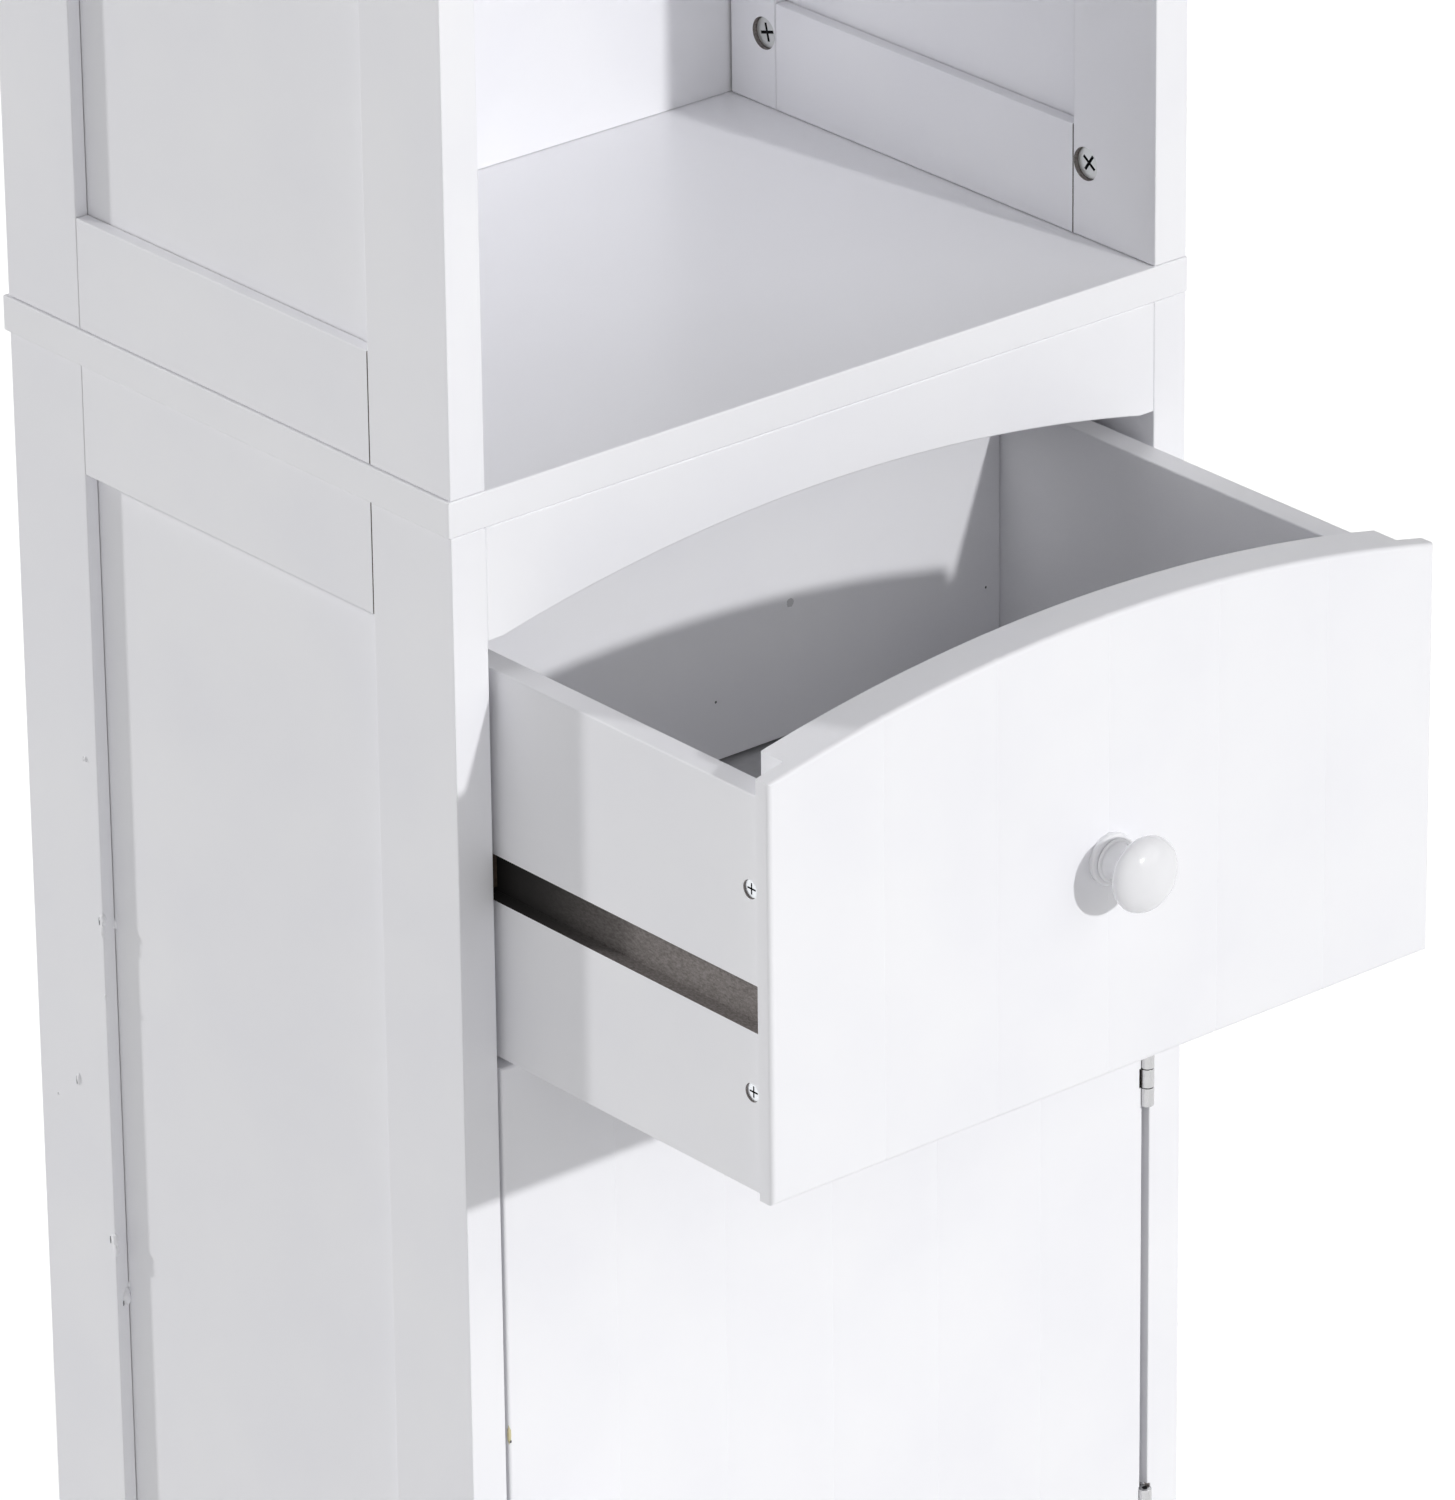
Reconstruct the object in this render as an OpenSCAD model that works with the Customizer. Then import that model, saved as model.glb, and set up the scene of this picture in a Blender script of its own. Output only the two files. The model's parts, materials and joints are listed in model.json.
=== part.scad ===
// Bathroom storage tower in painted board: side frames with recessed panels, a lower cupboard,
// an arched drawer on side runners, an open compartment and an upper cupboard.
// The fronts face -Y, +X is to the right, and the floor is z = 0.

/* [Tower] */
// Height of the top board above the floor
tower_h = 1700; // [1650:5:1800]
// Width across the side frames
body_w = 400; // [380:2:440]
// Depth of the side frames
body_d = 297; // [290:1:330]
// Height of the middle board's top above the floor
mid_h = 800; // [790:2:850]
// Height of the open compartment
open_h = 340; // [300:5:380]

/* [Boards and shelves] */
// Thickness of the boards and shelves
board_t = 16; // [15:0.5:18]
// How far the top and middle boards stand out at each side
board_side_lip = 1; // [0.5:0.5:3]
// How far the top and middle boards stand out at the back
board_back_lip = 3; // [1:0.5:6]
// Height of the base board's top above the floor
base_h = 82; // [76:1:95]
// Height of the fixed shelf under the drawer
drawer_shelf_h = 540; // [520:2:545]
// Gap between a front and the shelf edge behind it
shelf_setback = 1; // [0.5:0.25:2]
// Height of the adjustable shelf in the lower cupboard
lower_shelf_h = 316; // [300:2:330]
// Height of the adjustable shelf above the floor of the upper cupboard
upper_shelf_rise = 250; // [230:2:270]
// Gap at each end of an adjustable shelf
shelf_end_gap = 1.5; // [1:0.25:3]
// Gap in front of and behind an adjustable shelf
shelf_edge_gap = 6; // [4:0.5:9]

/* [Side frames] */
// Thickness of the stiles and rails
stile_t = 18; // [17:0.5:20]
// Width of the front stiles
front_stile_w = 52; // [50:0.5:60]
// Width of the back stiles
back_stile_w = 50; // [48:0.5:60]
// Height of the rails
rail_h = 50; // [46:0.5:60]
// Height of the lowest rails above the floor
rail_lift = 32; // [28:1:40]
// Thickness of the recessed panels and of the tongues
panel_t = 6; // [5:0.25:7]
// Depth of the grooves that hold the panels and tongues
groove_d = 5; // [4:0.25:5.5]

/* [Back] */
// Thickness of the back panels
back_t = 5; // [4:0.25:6]
// Distance from the back of the side frames to the front of the back panels
back_inset = 20; // [16:0.5:24]
// Depth of the back panel grooves in the back stiles
back_groove_d = 6; // [4:0.5:7]

/* [Fronts] */
// Thickness of the doors, fascias and apron
front_t = 16; // [15:0.5:18]
// Gap above and below each front
reveal = 3; // [2:0.25:4]
// Gap on the latch side of each door
latch_gap = 2; // [1.5:0.25:3]
// Gap on the hinge side of each door
hinge_gap = 4; // [3.75:0.25:5]
// Height of the fascias at their ends
fascia_h = 50; // [46:0.5:60]
// Height of the apron at its ends
apron_h = 56; // [50:0.5:60]
// Rise of the arches
arch_rise = 19; // [12:0.5:24]
// Length of the flat at each end of an arch
arch_foot = 8; // [2:0.5:12]
// Number of boards that the grooves suggest on each front
plank_n = 6; // [4:1:8]
// Width of a decorative groove
vee_w = 2.4; // [1.5:0.1:3]
// Depth of a decorative groove
vee_d = 0.4; // [0.2:0.05:1.2]

/* [Drawer] */
// How far the drawer stands open
drawer_out = 174; // [140:2:190]
// Gap at each end of the drawer front
drawer_front_gap = 1; // [0.75:0.25:2]
// Thickness of the part of the drawer front that covers the side ends
lip_t = 8; // [6:0.25:10]
// Thickness of the part of the drawer front between the sides
core_t = 14; // [12:0.5:16]
// Gap between each drawer side and the stiles
drawer_side_gap = 3.5; // [2.5:0.25:5]
// Thickness of the drawer sides and back
drawer_side_t = 12; // [11:0.5:14]
// Length of the drawer sides
drawer_side_l = 259; // [245:1:262]
// How far the sides stop short of the drawer front's lower edge
side_lift = 1; // [0.5:0.25:3]
// How far the sides stop below the ends of the drawer front
side_drop = 11; // [8:0.5:14]
// Height of the drawer bottom's top above the sides' lower edge
drawer_bottom_rise = 50; // [46:0.5:54]
// Thickness of the drawer bottom
drawer_bottom_t = 4; // [3:0.25:5]
// Depth of the grooves that hold the drawer bottom
bottom_groove_d = 5; // [3:0.25:5.5]
// Gap between the drawer bottom and the drawer back above it
drawer_back_gap = 2; // [1:0.25:3]

/* [Runners] */
// Height of the runners
runner_h = 18; // [14:0.5:19]
// Thickness of the runners
runner_t = 9; // [8:0.25:10]
// Gap between the drawer front's lip and the runners when shut
runner_stop_gap = 1; // [0.5:0.25:2]
// Distance from the back of the runners to the back panel
runner_back_gap = 5; // [3:0.5:10]
// Height of the runner grooves
track_h = 21; // [20:0.25:23]
// Depth of the runner grooves
track_d = 7; // [6.5:0.25:7.5]
// Height of the runner grooves' middle above the sides' lower edge
track_rise = 82; // [74:0.5:90]
// Gap over a runner
track_gap = 0.1; // [0.05:0.05:0.3]

/* [Hinges] */
// Height of a hinge
hinge_h = 46; // [40:1:60]
// Outside radius of the knuckles
knuckle_r = 3.05; // [2.8:0.05:3.2]
// Radius of the hinge pin
hinge_pin_r = 1.25; // [1:0.05:1.5]
// Gap round the hinge pin
pin_gap = 0.05; // [0.03:0.01:0.08]
// Gap above and below each knuckle
knuckle_gap = 0.3; // [0.1:0.05:0.5]
// Gap round the knuckles
knuckle_clear = 0.25; // [0.15:0.05:0.3]
// Gap in the wood beside the other leaf's knuckles
knuckle_bay = 0.8; // [0.4:0.05:0.9]
// Thickness of the hinge leaves
leaf_t = 1.4; // [1.2:0.1:1.6]
// Width of the hinge leaves
leaf_w = 15; // [13:0.5:15]
// How far the hinge pin's axis stands in front of the fronts
hinge_out = 0.6; // [0.4:0.1:1]
// Distance from a hinge to the nearer end of its door
hinge_inset = 88; // [70:1:110]

/* [Knobs] */
// Radius of the knob's head
knob_r = 16.6; // [14:0.2:18]
// Radius of the knob's flange
knob_flange_r = 11.5; // [10:0.25:13]
// Radius of the knob's waist
knob_waist_r = 7.6; // [6.5:0.2:8.5]
// How far the knob stands out
knob_reach = 30; // [28:0.5:36]
// Thickness of the knob's flange
knob_flange_t = 3; // [2:0.25:4]
// Width of the round-over on the flange and of the step at the waist
knob_step = 0.8; // [0.4:0.1:1.2]
// Height of the waist's middle above the flange's underside
knob_waist_rise = 9.5; // [8:0.25:11]
// Height of the widest part of the head above the flange's underside
knob_belly_rise = 21.5; // [18:0.25:24]
// Radius of the rounded rim at the back of the knob's head
knob_rim_r = 3.6; // [2.5:0.1:4.5]
// How hollow the neck is under the knob's head, where 1 is a straight cone
knob_cove = 1.8; // [1.2:0.1:2.4]
// Height of the drawer knob above the drawer front's lower edge
drawer_knob_rise = 99; // [90:1:110]
// Distance from the latch edge of a door to its knob
door_knob_edge = 32; // [25:0.5:40]
// Radius of the knob screw
knob_screw_r = 2; // [1.75:0.05:2.5]
// Length of the knob screw inside the knob
knob_screw_bite = 10; // [8:0.5:14]

/* [Fittings] */
// Radius of a cam lock
cam_r = 7.2; // [6.8:0.1:7.3]
// Height of a cam lock
cam_t = 11.5; // [10:0.25:12]
// How deep a cam lock sits below the surface
cam_sink = 2; // [1:0.25:2.25]
// Gap round a cam lock
cam_gap = 0.3; // [0.2:0.05:0.4]
// Distance from a board's face to the middle of its cam locks
cam_reach = 34; // [30:0.5:36]
// Distance from a stile's inner edge to the cam locks in it
cam_edge = 8; // [8:0.25:10]
// Distance from a stile's inner edge to the cam bolts of the fixed shelves
shelf_cam_edge = 16; // [14:0.5:20]
// Radius of a cam bolt's shank
bolt_r = 3.1; // [2.8:0.1:3.2]
// Length of a cam bolt's thread
bolt_thread_l = 6.5; // [5:0.25:6.75]
// Thickness of a cam bolt's head
bolt_head_t = 3; // [2:0.25:4]
// Length of the neck behind a cam bolt's head
bolt_neck_l = 4; // [3:0.25:5]
// Radius of a dowel
dowel_r = 3; // [2.5:0.25:4]
// Length of a dowel
dowel_l = 30; // [24:1:34]
// Depth of a dowel in a stile
dowel_bite = 10; // [7:0.5:12]
// Distance from a fascia's long edge to the nearer dowel
dowel_edge = 12; // [10:0.5:13]
// Distance between the two dowels at an end
dowel_pitch = 26; // [20:0.5:28]
// Radius of a shelf pin
shelf_pin_r = 2.5; // [2:0.25:3]
// Length of a shelf pin on each side of its collar
shelf_pin_l = 8; // [6:0.5:10]
// Thickness of a shelf pin's collar
shelf_pin_collar_t = 1; // [0.5:0.25:1]
// How far a shelf pin's collar stands out round the pin
shelf_pin_collar = 1; // [0.5:0.25:1.5]
// Distance from the front and back of the side frames to the shelf pins
shelf_pin_edge = 37; // [32:0.5:40]
// Height between two shelf pin holes
shelf_pin_pitch = 32; // [24:1:40]
// Number of shelf pin holes above and below the one in use
shelf_pin_spare = 1; // [0:1:2]
// Height of a foot glide
glide_h = 3; // [2:0.25:5]
// Radius of a foot glide
glide_r = 8.5; // [6:0.25:8.5]
// Radius of a foot glide's nail
glide_nail_r = 1.2; // [1:0.1:1.5]
// Length of a foot glide's nail
glide_nail_l = 12; // [10:0.5:16]
// Radius of a wood screw
screw_r = 1.75; // [1.5:0.05:2]
// Radius of a wood screw's head
screw_head_r = 4.1; // [3.7:0.1:4.4]
// How far the drawer's screw heads lie below the wood's face
screw_sink = 0.8; // [0.3:0.1:1.2]
// Radius of a hinge screw
small_screw_r = 1.3; // [1.1:0.05:1.4]
// Radius of a hinge screw's head
small_head_r = 2.6; // [2.4:0.1:2.65]
// Length of a hinge screw
small_screw_l = 12; // [9:0.5:14]
// Length of the screws in the drawer's corners
drawer_screw_l = 32; // [25:1:36]
// Height of the lower corner screws above the sides' lower edge
drawer_screw_low = 44; // [40:0.5:45]
// Distance from the upper corner screws to the sides' upper edge
drawer_screw_high = 42; // [36:0.5:48]
// Height of the back corner's lower screws above the drawer back's lower edge
back_screw_rise = 10; // [8:0.5:11]
// Radius of a back panel's pins
back_pin_r = 0.9; // [0.7:0.05:1.1]
// Radius of a back pin's head
back_pin_head_r = 2.2; // [1.8:0.1:2.6]
// Thickness of a back pin's head
back_pin_head_t = 0.8; // [0.5:0.1:1.2]
// Length of a back pin in the shelf behind its panel
back_pin_bite = 12; // [9:0.5:14]
// Gap round fixed tongues, dowels, bolts and screws
fixed_gap = 0.05; // [0.02:0.01:0.08]
// Gap at the end of a tongue, dowel, bolt or screw
end_gap = 0.5; // [0.25:0.05:0.75]

/* [Catches and wall bracket] */
// Width of a magnetic catch's housing
catch_w = 30; // [24:1:36]
// Height of a magnetic catch
catch_h = 13; // [11:0.5:16]
// Depth of a magnetic catch
catch_d = 15; // [12:0.5:20]
// Width of the ear at each end of a catch
catch_ear_w = 8; // [7:0.5:10]
// Thickness of a catch's ears
catch_ear_t = 3; // [2.5:0.25:4]
// Distance from the latch edge of a door to the middle of its catch
catch_edge = 62; // [55:0.5:90]
// Thickness of the strike plates
strike_t = 1; // [0.8:0.05:1.2]
// Gap between a strike plate and its catch
catch_gap = 0.1; // [0.05:0.05:0.3]
// Width of the wall bracket
bracket_w = 30; // [24:1:40]
// Thickness of the wall bracket
bracket_t = 2; // [1.5:0.25:3]
// Length of the bracket's leg on the top board
bracket_foot_l = 25; // [20:0.5:40]
// Height of the bracket's upright leg
bracket_h = 30; // [26:1:40]
// Height of the wall screw's hole above the top board
bracket_hole_h = 18; // [14:0.5:20]
// Radius of the wall screw's hole
bracket_hole_r = 2.75; // [2.25:0.25:3.5]

/* [Hidden] */

$fn = 32;
// Sides of an arch's full circle
arch_fn = 360;
// How far a cut runs past the face that it opens
cut = 1;

// Across the tower, measured from the middle
out_x = body_w / 2;
in_x = out_x - stile_t;
mid_x = out_x - stile_t / 2;

// Depth, measured back from the plane of the fronts
board_d = body_d + board_back_lip;
front_y = (drawer_out + knob_reach - board_d) / 2;
back_stile_y = body_d - back_stile_w;
back_panel_y = body_d - back_inset;
shelf_y = front_t + shelf_setback;

// Heights above the floor
mid_z = mid_h - board_t;
top_z = tower_h - board_t;
base_z = base_h - board_t;
drawer_shelf_z = drawer_shelf_h - board_t;
cupboard_z = mid_h + open_h;
cupboard_h = cupboard_z + board_t;
upper_shelf_h = cupboard_h + upper_shelf_rise;
fixed_shelf_mids = [base_z + board_t / 2, drawer_shelf_z + board_t / 2, cupboard_z + board_t / 2];

// Doors
door_left = -in_x + latch_gap;
door_right = in_x - hinge_gap;
door_w = door_right - door_left;
lower_door_z = base_h;
lower_door_top = drawer_shelf_h;
apron_top = lower_door_z - reveal;
upper_door_z = cupboard_z;
upper_door_top = top_z - fascia_h - reveal;
door_knob_x = door_left + door_knob_edge;
catch_x = door_left + catch_edge;
hinge_x = in_x - hinge_gap / 2;
hinge_y = -hinge_out;
hinge_clear_r = knuckle_r + knuckle_clear;
knuckle_n = 5;
knuckle_h = hinge_h / knuckle_n;

// Drawer, shut
drawer_front_x = in_x - drawer_front_gap;
drawer_z = drawer_shelf_h + reveal;
drawer_top = mid_z - fascia_h - reveal;
side_x = in_x - drawer_side_gap;
side_in_x = side_x - drawer_side_t;
side_z = drawer_z + side_lift;
side_top = drawer_top - side_drop;
side_end_y = lip_t + drawer_side_l;
core_end_y = lip_t + core_t;
drawer_bottom_top = side_z + drawer_bottom_rise;
drawer_back_z = drawer_bottom_top + drawer_back_gap;
track_z = side_z + track_rise - track_h / 2;
track_top = track_z + track_h;
runner_top = track_top - track_gap;
runner_y = lip_t + runner_stop_gap;
runner_end_y = back_panel_y - runner_back_gap;

// Arches, each a piece of a circle across the opening
arch_half = in_x - arch_foot;
arch_r = (arch_half * arch_half + arch_rise * arch_rise) / (2 * arch_rise);

paint = [0.94, 0.94, 0.95];
raw_board = [0.72, 0.69, 0.65];
zinc = [0.72, 0.73, 0.74];
glaze = [0.97, 0.97, 0.97];
nylon = [0.85, 0.85, 0.83];

// ---------- shared shapes ----------

// Block between two opposite corners
module block(low, high) {
    translate(low) cube(high - low);
}

// Brings a piece from the plane of the fronts to its place over the floor
module stand() {
    translate([0, front_y, 0]) children();
}

// As stand, for what moves with the open drawer
module stand_open() {
    translate([0, front_y - drawer_out, 0]) children();
}

module right_hand() {
    mirror([1, 0, 0]) children();
}

module both_hands() {
    children();
    right_hand() children();
}

// Outline in x and z, made solid from one depth to another
module slab(y_near, y_far) {
    translate([0, y_far, 0]) rotate([90, 0, 0]) linear_extrude(y_far - y_near) children();
}

// Full circle of the arch whose ends are at end_z, smaller by inset
module arch_disc(end_z, inset) {
    translate([0, end_z + arch_rise - arch_r]) circle(r = arch_r - inset, $fn = arch_fn);
}

// Vertical decorative grooves in the front plane, between two sides and two heights
module vee_grooves(x_low, x_high, z_low, z_high) {
    pitch = (x_high - x_low) / plank_n;
    for (i = [1 : plank_n - 1])
        translate([x_low + i * pitch, 0, z_low - cut])
            linear_extrude(z_high - z_low + 2 * cut)
                polygon([[-vee_w, -vee_d], [vee_w, -vee_d], [0, vee_d]]);
}

// Countersunk screw along -Z from the surface at z = 0, grown by gap for its hole
module screw(length, r, head_r, gap = 0, over = 0) {
    rotate_extrude()
        polygon([[0, -length - (gap > 0 ? end_gap : 0)], [r + gap, -length - (gap > 0 ? end_gap : 0)],
                 [r + gap, r - head_r], [head_r + gap, 0], [head_r + gap, over], [0, over]]);
}

// Cross recess sunk below z = 0
module cross_recess(arm, width, depth) {
    for (turn = [0, 90])
        rotate([0, 0, turn])
            translate([-arm, -width / 2, -depth]) cube([2 * arm, width, depth + cut]);
}

module cross_screw(length, r, head_r, sink = 0) {
    translate([0, 0, -sink]) difference() {
        screw(length, r, head_r);
        cross_recess(head_r * 0.62, head_r * 0.2, head_r * 0.35);
    }
}

module screw_hole(length, r, head_r, sink = 0) {
    translate([0, 0, -sink]) screw(length, r, head_r, fixed_gap, sink + cut);
}

// ---------- places of the fittings, on the left side or by themselves ----------

// Board face above or below a stile, with +Z along the bolt into the stile and +X inwards
module stile_bolt_site(y, face_z, way) {
    translate([-mid_x, y, face_z]) mirror([0, 0, way < 0 ? 1 : 0]) children();
}

// Inner face of a stile at a shelf's middle, with +Z along the bolt into the shelf
module shelf_bolt_site(y, mid_height) {
    translate([-in_x, y, mid_height]) rotate([0, 90, 0]) children();
}

stile_bolt_ys = [front_stile_w - cam_edge, back_stile_y + cam_edge];
shelf_bolt_ys = [front_stile_w - shelf_cam_edge, back_stile_y + shelf_cam_edge];
stile_bolt_faces = [[mid_z, -1], [mid_h, 1], [top_z, -1]];

// Hole for a cam lock and for the bolt that it grips; half_t is half the wood's thickness
module cam_holes(half_t) {
    translate([0, 0, -cut]) cylinder(r = bolt_r + cam_gap, h = cam_reach + cut);
    translate([half_t - cam_sink - cam_t - end_gap, 0, cam_reach]) rotate([0, 90, 0])
        cylinder(r = cam_r + cam_gap, h = cam_sink + cam_t + end_gap + cut);
}

// Pilot hole of a cam bolt's thread, from its face at z = 0
module bolt_pilot() {
    translate([0, 0, -bolt_thread_l - end_gap])
        cylinder(r = bolt_r + fixed_gap, h = bolt_thread_l + end_gap + cut);
}

module front_dowel_site(top_edge) {
    for (drop = [dowel_edge, dowel_edge + dowel_pitch])
        translate([-in_x - dowel_bite, front_t / 2, top_edge - drop]) rotate([0, 90, 0]) children();
}

module dowel_holes(top_edge) {
    front_dowel_site(top_edge)
        translate([0, 0, -end_gap]) cylinder(r = dowel_r + fixed_gap, h = dowel_l + 2 * end_gap);
}

module shelf_pin_site(shelf_top) {
    for (y = [shelf_pin_edge, body_d - shelf_pin_edge])
        translate([-in_x, y, shelf_top - board_t - shelf_pin_r]) rotate([0, 90, 0]) children();
}

module shelf_pin_holes(shelf_top) {
    for (i = [-shelf_pin_spare : shelf_pin_spare])
        translate([0, 0, i * shelf_pin_pitch])
            shelf_pin_site(shelf_top)
                translate([0, 0, -shelf_pin_l - end_gap])
                    cylinder(r = shelf_pin_r + fixed_gap, h = shelf_pin_l + end_gap + cut);
}

module runner_screw_site() {
    for (y = [front_stile_w / 2, body_d - back_stile_w / 2 - back_inset / 2])
        translate([-in_x + runner_t, y, runner_top - runner_h / 2]) rotate([0, 90, 0]) children();
}

runner_screw_l = runner_t + stile_t * 0.6;

// Lower ends of the two hinges of a door that reaches from z_low to z_high
function hinge_zs(z_low, z_high) = [z_low + hinge_inset, z_high - hinge_inset - hinge_h];
lower_hinges = hinge_zs(lower_door_z, lower_door_top);
upper_hinges = hinge_zs(upper_door_z, upper_door_top);

// Screws of one hinge leaf; side is 1 for the cabinet's leaf and -1 for the door's
module hinge_screw_site(z, side) {
    x = side > 0 ? in_x - leaf_t : door_right + leaf_t;
    for (up = [0.2, 0.8])
        translate([x, leaf_w * 0.6, z + up * hinge_h]) rotate([0, -90 * side, 0]) children();
}

// Knuckles of one leaf, counted from the lower end
function knuckles_of(side) = side > 0 ? [1, 3] : [0, 2, 4];

module hinge_notches(zs, side) {
    for (z = zs) {
        translate([hinge_x, hinge_y, z - cut]) cylinder(r = hinge_clear_r, h = hinge_h + 2 * cut);
        for (i = knuckles_of(-side))
            translate([hinge_x, hinge_y, z + i * knuckle_h - cut])
                cylinder(r = knuckle_r + knuckle_bay, h = knuckle_h + 2 * cut);
    }
}

module hinge_screw_holes(zs, side) {
    for (z = zs)
        hinge_screw_site(z, side) screw_hole(small_screw_l, small_screw_r, small_head_r);
}

module glide_site() {
    for (y = [front_stile_w / 2, body_d - back_stile_w / 2])
        translate([-mid_x, y, 0]) children();
}

module back_pin_site() {
    for (z = fixed_shelf_mids, x = [-0.6, 0, 0.6] * in_x)
        translate([x, back_panel_y + back_t, z]) rotate([-90, 0, 0]) children();
}

back_pin_l = back_t + back_pin_bite;

module back_pin_holes() {
    back_pin_site() translate([0, 0, -back_pin_l - end_gap])
        cylinder(r = back_pin_r + fixed_gap, h = back_pin_l + end_gap + cut);
}

// Catch under the drawer's shelf, and catch on the upper cupboard's floor; +Z leaves the shelf
module lower_catch_site() {
    translate([catch_x, front_t + strike_t + catch_gap, drawer_shelf_z]) mirror([0, 0, 1]) children();
}

module upper_catch_site() {
    translate([catch_x, front_t + strike_t + catch_gap, cupboard_h]) children();
}

module catch_screw_site() {
    for (side = [-1, 1])
        translate([side * (catch_w + catch_ear_w) / 2, catch_d / 2, catch_ear_t]) children();
}

module catch_screw_holes() {
    catch_screw_site() screw_hole(small_screw_l, small_screw_r, small_head_r);
}

module bracket_screw_site() {
    for (side = [-1, 1])
        translate([side * bracket_w / 4, board_d - bracket_foot_l * 0.6, tower_h + bracket_t]) children();
}

// ---------- side frames, all drawn on the left ----------

// Groove for a panel and the tongues, on a stile's edge between two depths
module panel_groove(y_near, y_far, z_low, z_high) {
    block([-mid_x - panel_t / 2, y_near, z_low], [-mid_x + panel_t / 2, y_far, z_high]);
}

module front_stile(z_low, z_high, bolt_faces, shelf_mids, dowel_tops, shelf_top) {
    difference() {
        block([-out_x, 0, z_low], [-in_x, front_stile_w, z_high]);
        panel_groove(front_stile_w - groove_d, front_stile_w + cut, z_low - cut, z_high + cut);
        for (face = bolt_faces)
            stile_bolt_site(stile_bolt_ys[0], face[0], face[1]) cam_holes(stile_t / 2);
        for (z = shelf_mids) shelf_bolt_site(shelf_bolt_ys[0], z) bolt_pilot();
        for (z = dowel_tops) dowel_holes(z);
        shelf_pin_holes(shelf_top);
    }
}

module back_stile(z_low, z_high, bolt_faces, shelf_mids, shelf_top) {
    difference() {
        block([-out_x, back_stile_y, z_low], [-in_x, body_d, z_high]);
        panel_groove(back_stile_y - cut, back_stile_y + groove_d, z_low - cut, z_high + cut);
        block([-in_x - back_groove_d, back_panel_y - fixed_gap, z_low - cut],
              [-in_x + cut, back_panel_y + back_t + fixed_gap, z_high + cut]);
        for (face = bolt_faces)
            stile_bolt_site(stile_bolt_ys[1], face[0], face[1]) cam_holes(stile_t / 2);
        for (z = shelf_mids) shelf_bolt_site(shelf_bolt_ys[1], z) bolt_pilot();
        shelf_pin_holes(shelf_top);
    }
}

module lower_front_stile() {
    difference() {
        front_stile(glide_h, mid_z, [stile_bolt_faces[0]], [fixed_shelf_mids[0], fixed_shelf_mids[1]],
                    [mid_z, apron_top], lower_shelf_h);
        runner_screw_site() screw_hole(runner_screw_l, screw_r, screw_head_r);
        glide_site() cylinder(r = glide_nail_r + fixed_gap, h = glide_h + glide_nail_l + end_gap);
    }
}

module lower_back_stile() {
    difference() {
        back_stile(glide_h, mid_z, [stile_bolt_faces[0]], [fixed_shelf_mids[0], fixed_shelf_mids[1]],
                   lower_shelf_h);
        runner_screw_site() screw_hole(runner_screw_l, screw_r, screw_head_r);
        glide_site() cylinder(r = glide_nail_r + fixed_gap, h = glide_h + glide_nail_l + end_gap);
    }
}

module upper_front_stile() {
    front_stile(mid_h, top_z, [stile_bolt_faces[1], stile_bolt_faces[2]], [fixed_shelf_mids[2]],
                [top_z], upper_shelf_h);
}

module upper_back_stile() {
    back_stile(mid_h, top_z, [stile_bolt_faces[1], stile_bolt_faces[2]], [fixed_shelf_mids[2]],
               upper_shelf_h);
}

// Notches and screw holes of the hinges, which only the right stiles have
module hinged(zs) {
    difference() {
        right_hand() children();
        hinge_notches(zs, 1);
        hinge_screw_holes(zs, 1);
    }
}

// Rail whose panel lies above it (way 1) or below it (way -1)
module rail(z_low, way) {
    z_high = z_low + rail_h;
    reach = groove_d - end_gap;
    tongue = panel_t / 2 - fixed_gap;
    edge = way > 0 ? z_high : z_low;
    difference() {
        union() {
            block([-out_x, front_stile_w, z_low], [-in_x, back_stile_y, z_high]);
            block([-mid_x - tongue, front_stile_w - reach, z_low],
                  [-mid_x + tongue, back_stile_y + reach, z_high]);
        }
        panel_groove(front_stile_w - groove_d - cut, back_stile_y + groove_d + cut,
                     way > 0 ? edge - groove_d : edge - cut, way > 0 ? edge + cut : edge + groove_d);
        for (y = stile_bolt_ys, face = stile_bolt_faces)
            stile_bolt_site(y, face[0], face[1]) cam_holes(stile_t / 2);
    }
}

// Panel between two rails, whose edges facing it are at z_low and z_high
module frame_panel(z_low, z_high) {
    reach = groove_d - end_gap;
    half_t = panel_t / 2 - fixed_gap;
    block([-mid_x - half_t, front_stile_w - reach, z_low - reach],
          [-mid_x + half_t, back_stile_y + reach, z_high + reach]);
}

module lower_top_rail() { rail(mid_z - rail_h, -1); }
module lower_bottom_rail() { rail(rail_lift, 1); }
module lower_panel() { frame_panel(rail_lift + rail_h, mid_z - rail_h); }
module upper_top_rail() { rail(top_z - rail_h, -1); }
module upper_bottom_rail() { rail(mid_h, 1); }
module upper_panel() { frame_panel(mid_h + rail_h, top_z - rail_h); }

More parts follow.
